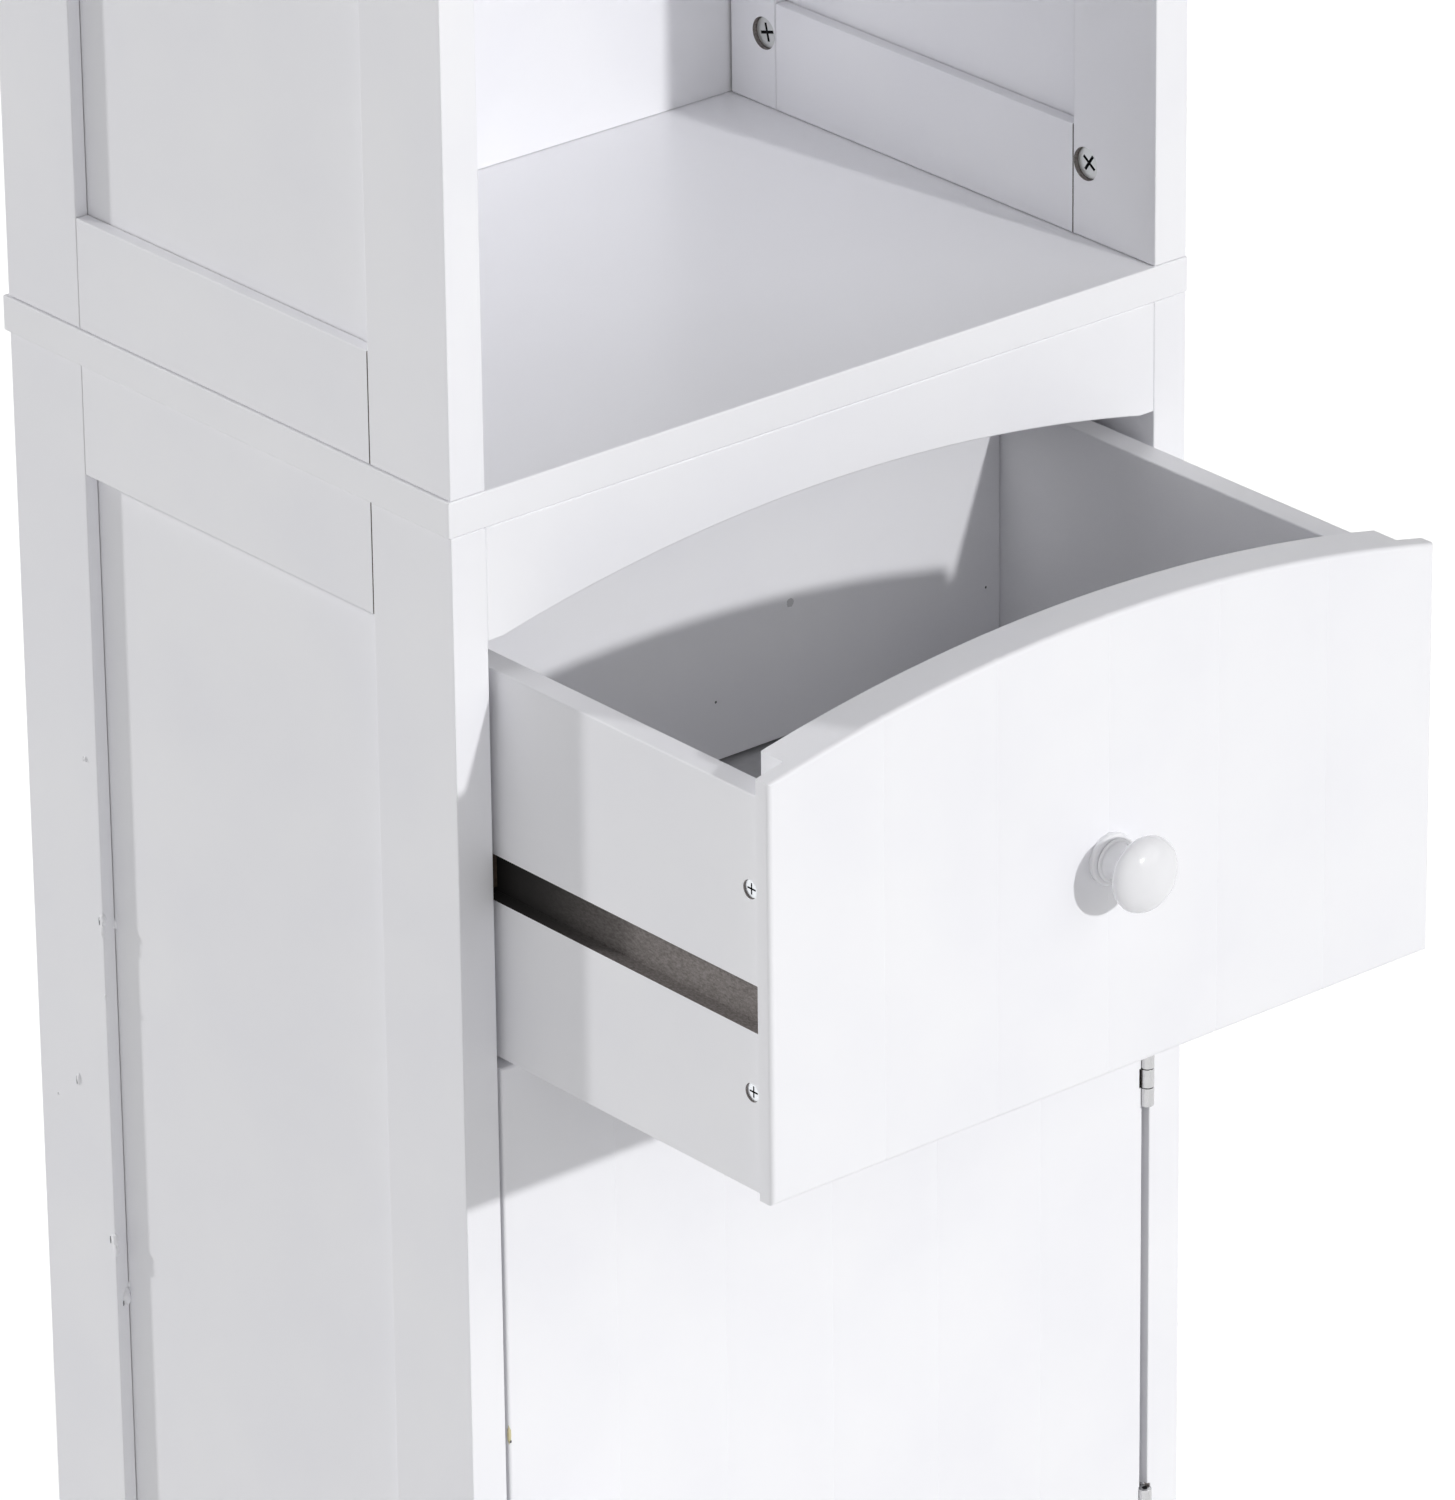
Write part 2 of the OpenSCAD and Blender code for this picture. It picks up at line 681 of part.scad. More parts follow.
module lower_left_front_stile() { color(paint) stand() lower_front_stile(); }
module lower_left_back_stile() { color(paint) stand() lower_back_stile(); }
module lower_left_top_rail() { color(paint) stand() lower_top_rail(); }
module lower_left_bottom_rail() { color(paint) stand() lower_bottom_rail(); }
module lower_left_panel() { color(paint) stand() lower_panel(); }
module lower_right_front_stile() { color(paint) stand() hinged(lower_hinges) lower_front_stile(); }
module lower_right_back_stile() { color(paint) stand() right_hand() lower_back_stile(); }
module lower_right_top_rail() { color(paint) stand() right_hand() lower_top_rail(); }
module lower_right_bottom_rail() { color(paint) stand() right_hand() lower_bottom_rail(); }
module lower_right_panel() { color(paint) stand() right_hand() lower_panel(); }
module upper_left_front_stile() { color(paint) stand() upper_front_stile(); }
module upper_left_back_stile() { color(paint) stand() upper_back_stile(); }
module upper_left_top_rail() { color(paint) stand() upper_top_rail(); }
module upper_left_bottom_rail() { color(paint) stand() upper_bottom_rail(); }
module upper_left_panel() { color(paint) stand() upper_panel(); }
module upper_right_front_stile() { color(paint) stand() hinged(upper_hinges) upper_front_stile(); }
module upper_right_back_stile() { color(paint) stand() right_hand() upper_back_stile(); }
module upper_right_top_rail() { color(paint) stand() right_hand() upper_top_rail(); }
module upper_right_bottom_rail() { color(paint) stand() right_hand() upper_bottom_rail(); }
module upper_right_panel() { color(paint) stand() right_hand() upper_panel(); }

// ---------- boards and shelves ----------

// Board over the side frames, drilled for the bolts of the faces given
module wide_board(z, faces) {
    difference() {
        block([-out_x - board_side_lip, 0, z], [out_x + board_side_lip, board_d, z + board_t]);
        both_hands()
            for (y = stile_bolt_ys, face = faces)
                stile_bolt_site(y, face[0], face[1]) bolt_pilot();
    }
}

// Shelf between the side frames, held by cam locks from below
module fixed_shelf(z) {
    difference() {
        block([-in_x, shelf_y, z], [in_x, back_panel_y, z + board_t]);
        both_hands()
            for (y = shelf_bolt_ys)
                shelf_bolt_site(y, z + board_t / 2) cam_holes(board_t / 2);
        back_pin_holes();
    }
}

module loose_shelf(top) {
    block([-in_x + shelf_end_gap, front_t + shelf_edge_gap, top - board_t],
          [in_x - shelf_end_gap, back_panel_y - shelf_edge_gap, top]);
}

module base_board() { color(paint) stand() fixed_shelf(base_z); }

module middle_board() {
    color(paint) stand() wide_board(mid_z, [stile_bolt_faces[0], stile_bolt_faces[1]]);
}

module top_board() {
    color(paint) stand() difference() {
        wide_board(top_z, [stile_bolt_faces[2]]);
        bracket_screw_site() screw_hole(small_screw_l, small_screw_r, small_head_r);
    }
}

module drawer_shelf() {
    color(paint) stand() difference() {
        fixed_shelf(drawer_shelf_z);
        lower_catch_site() catch_screw_holes();
    }
}

module cupboard_shelf() {
    color(paint) stand() difference() {
        fixed_shelf(cupboard_z);
        upper_catch_site() catch_screw_holes();
    }
}

module lower_shelf() { color(paint) stand() loose_shelf(lower_shelf_h); }
module upper_shelf() { color(paint) stand() loose_shelf(upper_shelf_h); }

// Pin with a collar against the stile, along +Z out of it
module shelf_pin() {
    collar_r = shelf_pin_r + shelf_pin_collar;
    rotate_extrude()
        polygon([[0, -shelf_pin_l], [shelf_pin_r, -shelf_pin_l], [shelf_pin_r, 0], [collar_r, 0],
                 [collar_r, shelf_pin_collar_t], [shelf_pin_r, shelf_pin_collar_t],
                 [shelf_pin_r, shelf_pin_collar_t + shelf_pin_l], [0, shelf_pin_collar_t + shelf_pin_l]]);
}

module shelf_pins() {
    color(zinc) stand() both_hands()
        for (top = [lower_shelf_h, upper_shelf_h]) shelf_pin_site(top) shelf_pin();
}

module back_panel(z_low, z_high) {
    reach = in_x + back_groove_d - end_gap;
    difference() {
        block([-reach, back_panel_y, z_low], [reach, back_panel_y + back_t, z_high]);
        back_pin_holes();
    }
}

module lower_back_panel() { color(paint) stand() back_panel(base_z, mid_z); }
module upper_back_panel() { color(paint) stand() back_panel(mid_h, top_z); }

// ---------- fascias and apron ----------

// Strip between the front stiles, from top_edge down by h at its ends, arched below
module arched_strip(top_edge, h) {
    difference() {
        slab(0, front_t) difference() {
            translate([-in_x, top_edge - h]) square([2 * in_x, h]);
            arch_disc(top_edge - h, 0);
        }
        both_hands() dowel_holes(top_edge);
    }
}

module drawer_fascia() { color(paint) stand() arched_strip(mid_z, fascia_h); }
module upper_fascia() { color(paint) stand() arched_strip(top_z, fascia_h); }
module apron() { color(paint) stand() arched_strip(apron_top, apron_h); }

// ---------- fittings of the carcass ----------

// Bolt from its board's face at z = 0 towards the cam lock
module cam_bolt() {
    neck_r = bolt_r / 2;
    head_z = cam_reach - bolt_head_t / 2;
    rotate_extrude()
        polygon([[0, -bolt_thread_l], [bolt_r, -bolt_thread_l], [bolt_r, head_z - bolt_neck_l],
                 [neck_r, head_z - bolt_neck_l], [neck_r, head_z], [bolt_r, head_z],
                 [bolt_r, head_z + bolt_head_t], [0, head_z + bolt_head_t]]);
}

// Cam lock in wood of half thickness half_t, with the cross of its face turned
module cam_lock(half_t, turn) {
    slot_top = cam_r / 2;
    difference() {
        translate([half_t - cam_sink - cam_t, 0, cam_reach]) rotate([0, 90, 0])
            cylinder(r = cam_r, h = cam_t);
        translate([0, 0, cam_reach - cam_r - cut])
            cylinder(r = bolt_r + cam_gap, h = cam_r + cut + slot_top);
        translate([half_t - cam_sink, 0, cam_reach]) rotate([0, 90, 0]) rotate([0, 0, turn])
            cross_recess(cam_r * 0.6, cam_r * 0.2, cam_r * 0.2);
    }
}

// Turn of the cross on the front and on the back cam locks
cam_turns = [35, 75];

module cam_locks() {
    color(zinc) stand() both_hands() for (i = [0, 1]) {
        for (face = stile_bolt_faces)
            stile_bolt_site(stile_bolt_ys[i], face[0], face[1]) cam_lock(stile_t / 2, cam_turns[i]);
        for (z = fixed_shelf_mids)
            shelf_bolt_site(shelf_bolt_ys[i], z) cam_lock(board_t / 2, cam_turns[i]);
    }
}

module cam_bolts() {
    color(zinc) stand() both_hands() for (i = [0, 1]) {
        for (face = stile_bolt_faces) stile_bolt_site(stile_bolt_ys[i], face[0], face[1]) cam_bolt();
        for (z = fixed_shelf_mids) shelf_bolt_site(shelf_bolt_ys[i], z) cam_bolt();
    }
}

module dowels() {
    color(raw_board) stand() both_hands()
        for (z = [mid_z, top_z, apron_top]) front_dowel_site(z) cylinder(r = dowel_r, h = dowel_l);
}

// Plastic disc with a nail up into the stile
module foot_glide() {
    bevel = glide_h / 3;
    rotate_extrude()
        polygon([[0, 0], [glide_r - bevel, 0], [glide_r, bevel], [glide_r, glide_h],
                 [glide_nail_r, glide_h], [glide_nail_r, glide_h + glide_nail_l],
                 [0, glide_h + glide_nail_l]]);
}

module foot_glides() {
    color(nylon) stand() both_hands() glide_site() foot_glide();
}

module drawer_runners() {
    color(raw_board) stand() both_hands() difference() {
        block([-in_x, runner_y, runner_top - runner_h], [-in_x + runner_t, runner_end_y, runner_top]);
        runner_screw_site() screw_hole(runner_screw_l, screw_r, screw_head_r);
    }
}

module back_pin() {
    translate([0, 0, -back_pin_l]) cylinder(r = back_pin_r, h = back_pin_l);
    cylinder(r = back_pin_head_r, h = back_pin_head_t);
}

module carcass_screws() {
    color(zinc) stand() {
        both_hands() runner_screw_site() cross_screw(runner_screw_l, screw_r, screw_head_r);
        for (z = concat(lower_hinges, upper_hinges))
            hinge_screw_site(z, 1) cross_screw(small_screw_l, small_screw_r, small_head_r);
        lower_catch_site() catch_screw_site() cross_screw(small_screw_l, small_screw_r, small_head_r);
        upper_catch_site() catch_screw_site() cross_screw(small_screw_l, small_screw_r, small_head_r);
        bracket_screw_site() cross_screw(small_screw_l, small_screw_r, small_head_r);
        back_pin_site() back_pin();
    }
}

// ---------- hinges ----------

// One leaf with its knuckles; side is 1 for the cabinet's leaf and -1 for the door's
module hinge_leaf(z, side) {
    plate_x = side > 0 ? in_x - leaf_t : door_right;
    difference() {
        union() {
            difference() {
                block([plate_x, hinge_y, z], [plate_x + leaf_t, leaf_w, z + hinge_h]);
                for (i = knuckles_of(-side))
                    translate([hinge_x, hinge_y, z + i * knuckle_h - knuckle_gap])
                        cylinder(r = hinge_clear_r, h = knuckle_h + 2 * knuckle_gap);
            }
            for (i = knuckles_of(side))
                translate([hinge_x, hinge_y, z + i * knuckle_h + knuckle_gap / 2])
                    cylinder(r = knuckle_r, h = knuckle_h - knuckle_gap);
        }
        translate([hinge_x, hinge_y, z - cut])
            cylinder(r = hinge_pin_r + pin_gap, h = hinge_h + 2 * cut);
        hinge_screw_holes([z], side);
    }
}

module cabinet_hinge_leaves() {
    color(zinc) stand() for (z = concat(lower_hinges, upper_hinges)) hinge_leaf(z, 1);
}

module hinge_pins() {
    color(zinc) stand() for (z = concat(lower_hinges, upper_hinges))
        translate([hinge_x, hinge_y, z]) cylinder(r = hinge_pin_r, h = hinge_h);
}

// ---------- magnetic catches and wall bracket ----------

module catch_body() {
    difference() {
        union() {
            block([-catch_w / 2, 0, 0], [catch_w / 2, catch_d, catch_h]);
            block([-catch_w / 2 - catch_ear_w, 0, 0], [catch_w / 2 + catch_ear_w, catch_d, catch_ear_t]);
        }
        catch_screw_holes();
    }
}

module magnetic_catches() {
    color(glaze) stand() {
        lower_catch_site() catch_body();
        upper_catch_site() catch_body();
    }
}

// Angle on the top board, drilled for a screw into the wall behind
module wall_bracket() {
    color(zinc) stand() difference() {
        union() {
            block([-bracket_w / 2, board_d - bracket_foot_l, tower_h],
                  [bracket_w / 2, board_d, tower_h + bracket_t]);
            block([-bracket_w / 2, board_d - bracket_t, tower_h],
                  [bracket_w / 2, board_d, tower_h + bracket_h]);
        }
        translate([0, board_d + cut, tower_h + bracket_hole_h]) rotate([90, 0, 0])
            cylinder(r = bracket_hole_r, h = bracket_t + 2 * cut);
        bracket_screw_site() screw_hole(small_screw_l, small_screw_r, small_head_r);
    }
}

// ---------- knobs ----------

// Turned knob along +Z from the face it stands on
module knob() {
    ring_r = (knob_flange_r + knob_waist_r) / 2;
    neck_z = knob_waist_rise;
    flare_z = neck_z + knob_step;
    belly_z = knob_belly_rise;
    rim_start = -60;
    cove_r = knob_r - knob_rim_r * (1 - cos(rim_start));
    cove_z = belly_z + knob_rim_r * sin(rim_start);
    crown = knob_reach - belly_z;
    steps = 10;
    difference() {
        rotate_extrude()
            polygon(concat(
                [[0, 0], [knob_flange_r, 0], [knob_flange_r, knob_flange_t * 0.6],
                 [knob_flange_r - knob_step, knob_flange_t], [ring_r, knob_flange_t],
                 [ring_r, knob_flange_t * 1.5], [knob_waist_r, neck_z - knob_step],
                 [knob_waist_r, flare_z]],
                // hollow neck, the head's rounded rim, then the crown
                [for (i = [1 : steps]) let (u = i / steps)
                    [knob_waist_r + (cove_r - knob_waist_r) * pow(u, knob_cove),
                     flare_z + (cove_z - flare_z) * u]],
                [for (i = [1 : steps]) let (a = rim_start * (1 - i / steps))
                    [knob_r - knob_rim_r * (1 - cos(a)), belly_z + knob_rim_r * sin(a)]],
                [for (i = [1 : steps - 1]) let (a = 90 * i / steps)
                    [knob_r * cos(a), belly_z + crown * sin(a)]],
                [[0, knob_reach]]));
        translate([0, 0, -cut])
            cylinder(r = knob_screw_r + fixed_gap, h = cut + knob_screw_bite + end_gap);
    }
}

// Screw into a knob from behind wood of thickness grip, with the wood's front at z = 0
module knob_screw(grip) {
    head_r = knob_screw_r * 2;
    head_t = knob_screw_r * 1.2;
    translate([0, 0, -grip]) cylinder(r = knob_screw_r, h = grip + knob_screw_bite);
    translate([0, 0, -grip - head_t]) difference() {
        cylinder(r = head_r, h = head_t);
        mirror([0, 0, 1]) cross_recess(head_r * 0.6, head_r * 0.2, head_t * 0.5);
    }
}

module knob_hole(grip) {
    translate([0, 0, -grip - cut]) cylinder(r = knob_screw_r + fixed_gap, h = grip + 2 * cut);
}

module drawer_knob_site() {
    translate([0, 0, drawer_z + drawer_knob_rise]) rotate([90, 0, 0]) children();
}

module door_knob_site(z_low, z_high) {
    translate([door_knob_x, 0, (z_low + z_high) / 2]) rotate([90, 0, 0]) children();
}

// ---------- drawer, drawn shut ----------

module drawer_outline() {
    translate([0, drawer_z]) intersection() {
        translate([-drawer_front_x, 0])
            square([2 * drawer_front_x, drawer_top + arch_rise - drawer_z]);
        translate([0, -drawer_z]) arch_disc(mid_z - fascia_h, reveal);
    }
}

// Corner screws, on the left: two at the front and two at the back
module drawer_screw_site() {
    high_z = side_top - drawer_screw_high;
    front_y_z = [for (z = [side_z + drawer_screw_low, high_z]) [lip_t + core_t / 2, z]];
    back_y_z = [for (z = [drawer_back_z + back_screw_rise, high_z]) [side_end_y - drawer_side_t / 2, z]];
    for (at = concat(front_y_z, back_y_z))
        translate([-side_x, at[0], at[1]]) rotate([0, -90, 0]) children();
}

module drawer_screw_holes() {
    drawer_screw_site() screw_hole(drawer_screw_l, screw_r, screw_head_r, screw_sink);
}

// Sheet of the drawer bottom, thicker and longer by gap for the grooves that hold it
module bottom_sheet(gap) {
    reach = side_in_x + bottom_groove_d - (gap > 0 ? 0 : end_gap);
    block([-reach, core_end_y - bottom_groove_d + (gap > 0 ? 0 : end_gap),
           drawer_bottom_top - drawer_bottom_t - gap],
          [reach, side_end_y + (gap > 0 ? cut : 0), drawer_bottom_top + gap]);
}

module drawer_front() {
    core_x = side_in_x - fixed_gap;
    color(paint) stand_open() difference() {
        union() {
            slab(0, lip_t) drawer_outline();
            slab(lip_t, core_end_y) intersection() {
                drawer_outline();
                translate([-core_x, 0]) square([2 * core_x, mid_h]);
            }
        }
        vee_grooves(-drawer_front_x, drawer_front_x, drawer_z, drawer_top + arch_rise);
        bottom_sheet(fixed_gap);
        drawer_knob_site() knob_hole(core_end_y);
        both_hands() drawer_screw_holes();
    }
}

module drawer_side() {
    difference() {
        block([-side_x, lip_t, side_z], [-side_in_x, side_end_y, side_top]);
        block([-side_x - cut, lip_t - cut, track_z], [-side_x + track_d, side_end_y + cut, track_top]);
        bottom_sheet(fixed_gap);
        drawer_screw_holes();
    }
}

module drawer_left_side() { color(paint) stand_open() drawer_side(); }
module drawer_right_side() { color(paint) stand_open() right_hand() drawer_side(); }

module drawer_back() {
    back_x = side_in_x - fixed_gap;
    color(paint) stand_open() difference() {
        block([-back_x, side_end_y - drawer_side_t, drawer_back_z], [back_x, side_end_y, side_top]);
        both_hands() drawer_screw_holes();
    }
}

module drawer_bottom() { color(raw_board) stand_open() bottom_sheet(0); }

module drawer_screws() {
    color(zinc) stand_open() {
        both_hands() drawer_screw_site()
            cross_screw(drawer_screw_l, screw_r, screw_head_r, screw_sink);
        drawer_knob_site() knob_screw(core_end_y);
    }
}

module drawer_knob() { color(glaze) stand_open() drawer_knob_site() knob(); }

// ---------- doors ----------

module strike_site(door_face_z) {
    translate([catch_x, front_t, door_face_z]) rotate([-90, 0, 0]) children();
}

lower_strike_z = drawer_shelf_z - catch_h / 2;
upper_strike_z = cupboard_h + catch_h / 2;

module strike(z) {
    difference() {
        block([catch_x - catch_w / 2, front_t, z - catch_h * 0.4],
              [catch_x + catch_w / 2, front_t + strike_t, z + catch_h * 0.4]);
        strike_site(z) translate([0, 0, strike_t])
            screw_hole(small_screw_l, small_screw_r, small_head_r);
    }
}

// Holes, notches and grooves of a door between two heights, with its strike plate at strike_z
module door_cuts(z_low, z_high, strike_z, zs) {
    vee_grooves(door_left, door_right, z_low, z_high + arch_rise);
    hinge_notches(zs, -1);
    hinge_screw_holes(zs, -1);
    door_knob_site(z_low, z_high) knob_hole(front_t);
    strike_site(strike_z) translate([0, 0, strike_t])
        screw_hole(small_screw_l, small_screw_r, small_head_r);
}

module door_screws(z_low, z_high, strike_z, zs) {
    for (z = zs) hinge_screw_site(z, -1) cross_screw(small_screw_l, small_screw_r, small_head_r);
    strike_site(strike_z) translate([0, 0, strike_t])
        cross_screw(small_screw_l, small_screw_r, small_head_r);
    door_knob_site(z_low, z_high) knob_screw(front_t);
}

module lower_door() {
    color(paint) stand() difference() {
        block([door_left, 0, lower_door_z], [door_right, front_t, lower_door_top]);
        door_cuts(lower_door_z, lower_door_top, lower_strike_z, lower_hinges);
    }
}

module upper_door() {
    color(paint) stand() difference() {
        slab(0, front_t) intersection() {
            translate([door_left, upper_door_z])
                square([door_w, upper_door_top + arch_rise - upper_door_z]);
            arch_disc(top_z - fascia_h, reveal);
        }
        door_cuts(upper_door_z, upper_door_top, upper_strike_z, upper_hinges);
    }
}

module lower_door_knob() {
    color(glaze) stand() door_knob_site(lower_door_z, lower_door_top) knob();
}

module upper_door_knob() {
    color(glaze) stand() door_knob_site(upper_door_z, upper_door_top) knob();
}

module lower_door_hinge_leaves() { color(zinc) stand() for (z = lower_hinges) hinge_leaf(z, -1); }
module upper_door_hinge_leaves() { color(zinc) stand() for (z = upper_hinges) hinge_leaf(z, -1); }
module lower_door_strike() { color(zinc) stand() strike(lower_strike_z); }
module upper_door_strike() { color(zinc) stand() strike(upper_strike_z); }

module lower_door_screws() {
    color(zinc) stand() door_screws(lower_door_z, lower_door_top, lower_strike_z, lower_hinges);
}

module upper_door_screws() {
    color(zinc) stand() door_screws(upper_door_z, upper_door_top, upper_strike_z, upper_hinges);
}

lower_left_front_stile();
lower_left_back_stile();
lower_left_top_rail();
lower_left_bottom_rail();
lower_left_panel();
lower_right_front_stile();
lower_right_back_stile();
lower_right_top_rail();
lower_right_bottom_rail();
lower_right_panel();
upper_left_front_stile();
upper_left_back_stile();
upper_left_top_rail();
upper_left_bottom_rail();
upper_left_panel();
upper_right_front_stile();
upper_right_back_stile();
upper_right_top_rail();
upper_right_bottom_rail();
upper_right_panel();
base_board();
middle_board();
top_board();
drawer_shelf();
cupboard_shelf();
lower_shelf();
upper_shelf();
shelf_pins();
lower_back_panel();
upper_back_panel();
drawer_fascia();
upper_fascia();
apron();
drawer_runners();
cam_locks();
cam_bolts();
dowels();
foot_glides();
carcass_screws();
cabinet_hinge_leaves();
hinge_pins();
magnetic_catches();
wall_bracket();
drawer_front();
drawer_left_side();
drawer_right_side();
drawer_back();
drawer_bottom();
drawer_screws();
drawer_knob();
lower_door();
lower_door_knob();
lower_door_hinge_leaves();
lower_door_strike();
lower_door_screws();
upper_door();
upper_door_knob();
upper_door_hinge_leaves();
upper_door_strike();
upper_door_screws();
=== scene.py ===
import json
import math
import random

import bmesh
import bpy
from mathutils import Matrix, Vector


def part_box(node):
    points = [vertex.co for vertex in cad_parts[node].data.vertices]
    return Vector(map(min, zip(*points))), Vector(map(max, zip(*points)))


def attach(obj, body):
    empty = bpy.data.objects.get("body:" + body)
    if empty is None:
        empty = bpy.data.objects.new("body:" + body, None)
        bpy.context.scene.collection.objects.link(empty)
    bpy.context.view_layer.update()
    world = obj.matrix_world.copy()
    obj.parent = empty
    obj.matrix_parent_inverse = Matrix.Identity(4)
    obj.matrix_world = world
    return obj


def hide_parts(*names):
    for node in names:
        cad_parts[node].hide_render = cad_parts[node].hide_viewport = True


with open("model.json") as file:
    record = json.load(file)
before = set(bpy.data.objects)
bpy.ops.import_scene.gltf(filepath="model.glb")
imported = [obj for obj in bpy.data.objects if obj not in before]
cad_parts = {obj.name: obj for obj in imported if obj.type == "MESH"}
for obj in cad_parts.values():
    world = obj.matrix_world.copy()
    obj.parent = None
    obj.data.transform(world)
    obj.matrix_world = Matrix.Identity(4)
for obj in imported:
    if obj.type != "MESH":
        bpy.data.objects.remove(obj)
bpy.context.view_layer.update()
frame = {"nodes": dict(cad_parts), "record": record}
nodes = frame["nodes"]
behaviour = frame["record"]["behaviour"]
bodyOf = {node: body for body, members in behaviour["bodies"].items() for node in members}
mm = 0.001

# planes and heights that the pieces below share, read from the frame
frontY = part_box("lower_left_front_stile")[0].y
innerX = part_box("lower_right_front_stile")[0].x
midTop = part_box("middle_board")[1].z


def linear(hexColour):
    channels = [int(hexColour[i:i + 2], 16) / 255 for i in (1, 3, 5)]
    return tuple(c / 12.92 if c <= 0.04045 else ((c + 0.055) / 1.055) ** 2.4 for c in channels) + (1,)


def addNode(tree, kind, settings=None, inputs=None):
    node = tree.nodes.new(kind)
    for name, value in (settings or {}).items():
        setattr(node, name, value)
    for name, value in (inputs or {}).items():
        if isinstance(value, bpy.types.NodeSocket):
            tree.links.new(value, node.inputs[name])
        else:
            node.inputs[name].default_value = value
    return node


# camera: the photo's viewing angle, no shift

camera = {
    "azimuth": -39.87,    # degrees, from the front towards the left
    "elevation": 24.46,
    "roll": -0.68,
    "place": (-2625.1, -3075.3, 1670.5),    # mm, from the front plane and the middle board's top
    "focalPixels": 10597,    # on a picture 1500 pixels high
    "pictureHeight": 1500,
    "sensorHeight": 36,
    "sees": 50,    # how far, in metres
}


def addCamera():
    data = bpy.data.cameras.new("camera")
    data.sensor_fit = "VERTICAL"
    data.sensor_height = camera["sensorHeight"]
    data.lens = camera["focalPixels"] / camera["pictureHeight"] * camera["sensorHeight"]
    data.clip_end = camera["sees"]
    seen = bpy.data.objects.new("camera", data)
    bpy.context.scene.collection.objects.link(seen)
    turn = (Matrix.Rotation(math.radians(camera["azimuth"]), 4, "Z")
            @ Matrix.Rotation(math.radians(90 - camera["elevation"]), 4, "X")
            @ Matrix.Rotation(math.radians(camera["roll"]), 4, "Z"))
    place = Vector(camera["place"]) * mm + Vector((0, frontY, midTop))
    seen.matrix_world = Matrix.Translation(place) @ turn
    bpy.context.scene.camera = seen


addCamera()
print("camera placed")


# light: a faint even room, a small lamp from the front right, one that grazes the left side from
# behind, and four broad soft fills

lights = {
    "room": 0.14,
    "lamps": {    # strength, where its light goes, how wide it looks in degrees
        "key lamp": (1.38, (-0.13, 1, -0.36), 1.6),    # makes the shadows of the drawer and the knob
        "side lamp": (1.5, (0.36, -0.93, -0.3), 3),    # makes the narrow shade beside the left stiles
        "left fill": (0.28, (1, 0.1, -0.15), 80),
        "back left fill": (0.3, (0.8, -0.6, -0.3), 50),
        "front left fill": (0.24, (0.6, 1, -0.5), 50),
        "right fill": (0.58, (-0.5, 1, -0.5), 50),
    },
}


def addSun(name, strength, way, angle):
    data = bpy.data.lights.new(name, "SUN")
    data.energy = strength
    data.angle = math.radians(angle)
    lamp = bpy.data.objects.new(name, data)
    bpy.context.scene.collection.objects.link(lamp)
    lamp.rotation_euler = Vector(way).to_track_quat("-Z", "Y").to_euler()


def seenDirectly(tree):
    # 1 for rays that the eye or a reflection sends, 0 for those that light the object
    path = addNode(tree, "ShaderNodeLightPath")
    glossy = addNode(tree, "ShaderNodeMath", {"operation": "MAXIMUM"},
                     {0: path.outputs["Is Camera Ray"], 1: path.outputs["Is Glossy Ray"]})
    clear = addNode(tree, "ShaderNodeMath", {"operation": "MAXIMUM"},
                    {0: glossy.outputs[0], 1: path.outputs["Is Transmission Ray"]})
    return clear.outputs[0]


def addWorld():
    world = bpy.data.worlds.new("studio")
    world.use_nodes = True
    tree = world.node_tree
    tree.nodes.clear()
    white = addNode(tree, "ShaderNodeBackground", None, {"Color": (1, 1, 1, 1), "Strength": 1})
    room = addNode(tree, "ShaderNodeBackground", None, {"Color": (1, 1, 1, 1), "Strength": lights["room"]})
    both = addNode(tree, "ShaderNodeMixShader", None,
                   {0: seenDirectly(tree), 1: room.outputs[0], 2: white.outputs[0]})
    addNode(tree, "ShaderNodeOutputWorld", None, {"Surface": both.outputs[0]})
    bpy.context.scene.world = world


bpy.context.scene.view_settings.view_transform = "Standard"
addWorld()
for lamp, settings in lights["lamps"].items():
    addSun(lamp, *settings)
print("lights placed")


# materials

def newMaterial(name):
    material = bpy.data.materials.new(name)
    material.use_nodes = True
    tree = material.node_tree
    tree.nodes.clear()
    shader = addNode(tree, "ShaderNodeBsdfPrincipled")
    addNode(tree, "ShaderNodeOutputMaterial", None, {"Surface": shader.outputs[0]})
    place = addNode(tree, "ShaderNodeTexCoord").outputs["Object"]
    return material, tree, shader, place


def noise(tree, place, sizeMm, detail=2, roughness=0.5, stretch=(1, 1, 1)):
    # soft random pattern of blots about sizeMm across; a stretch below 1 draws them out along that axis
    if stretch != (1, 1, 1):
        place = addNode(tree, "ShaderNodeMapping", None,
                        {"Vector": place, "Scale": stretch}).outputs[0]
    return addNode(tree, "ShaderNodeTexNoise", None,
                   {"Vector": place, "Scale": 1 / (sizeMm * mm), "Detail": detail,
                    "Roughness": roughness}).outputs["Fac"]


def twoTone(tree, factor, low, high, lowAt=0.35, highAt=0.65):
    ramp = addNode(tree, "ShaderNodeValToRGB", None, {"Fac": factor})
    ramp.color_ramp.elements[0].position = lowAt
    ramp.color_ramp.elements[0].color = linear(low)
    ramp.color_ramp.elements[1].position = highAt
    ramp.color_ramp.elements[1].color = linear(high)
    return ramp.outputs["Color"]


def spread(tree, factor, low, high):
    return addNode(tree, "ShaderNodeMapRange", None,
                   {"Value": factor, "To Min": low, "To Max": high}).outputs["Result"]


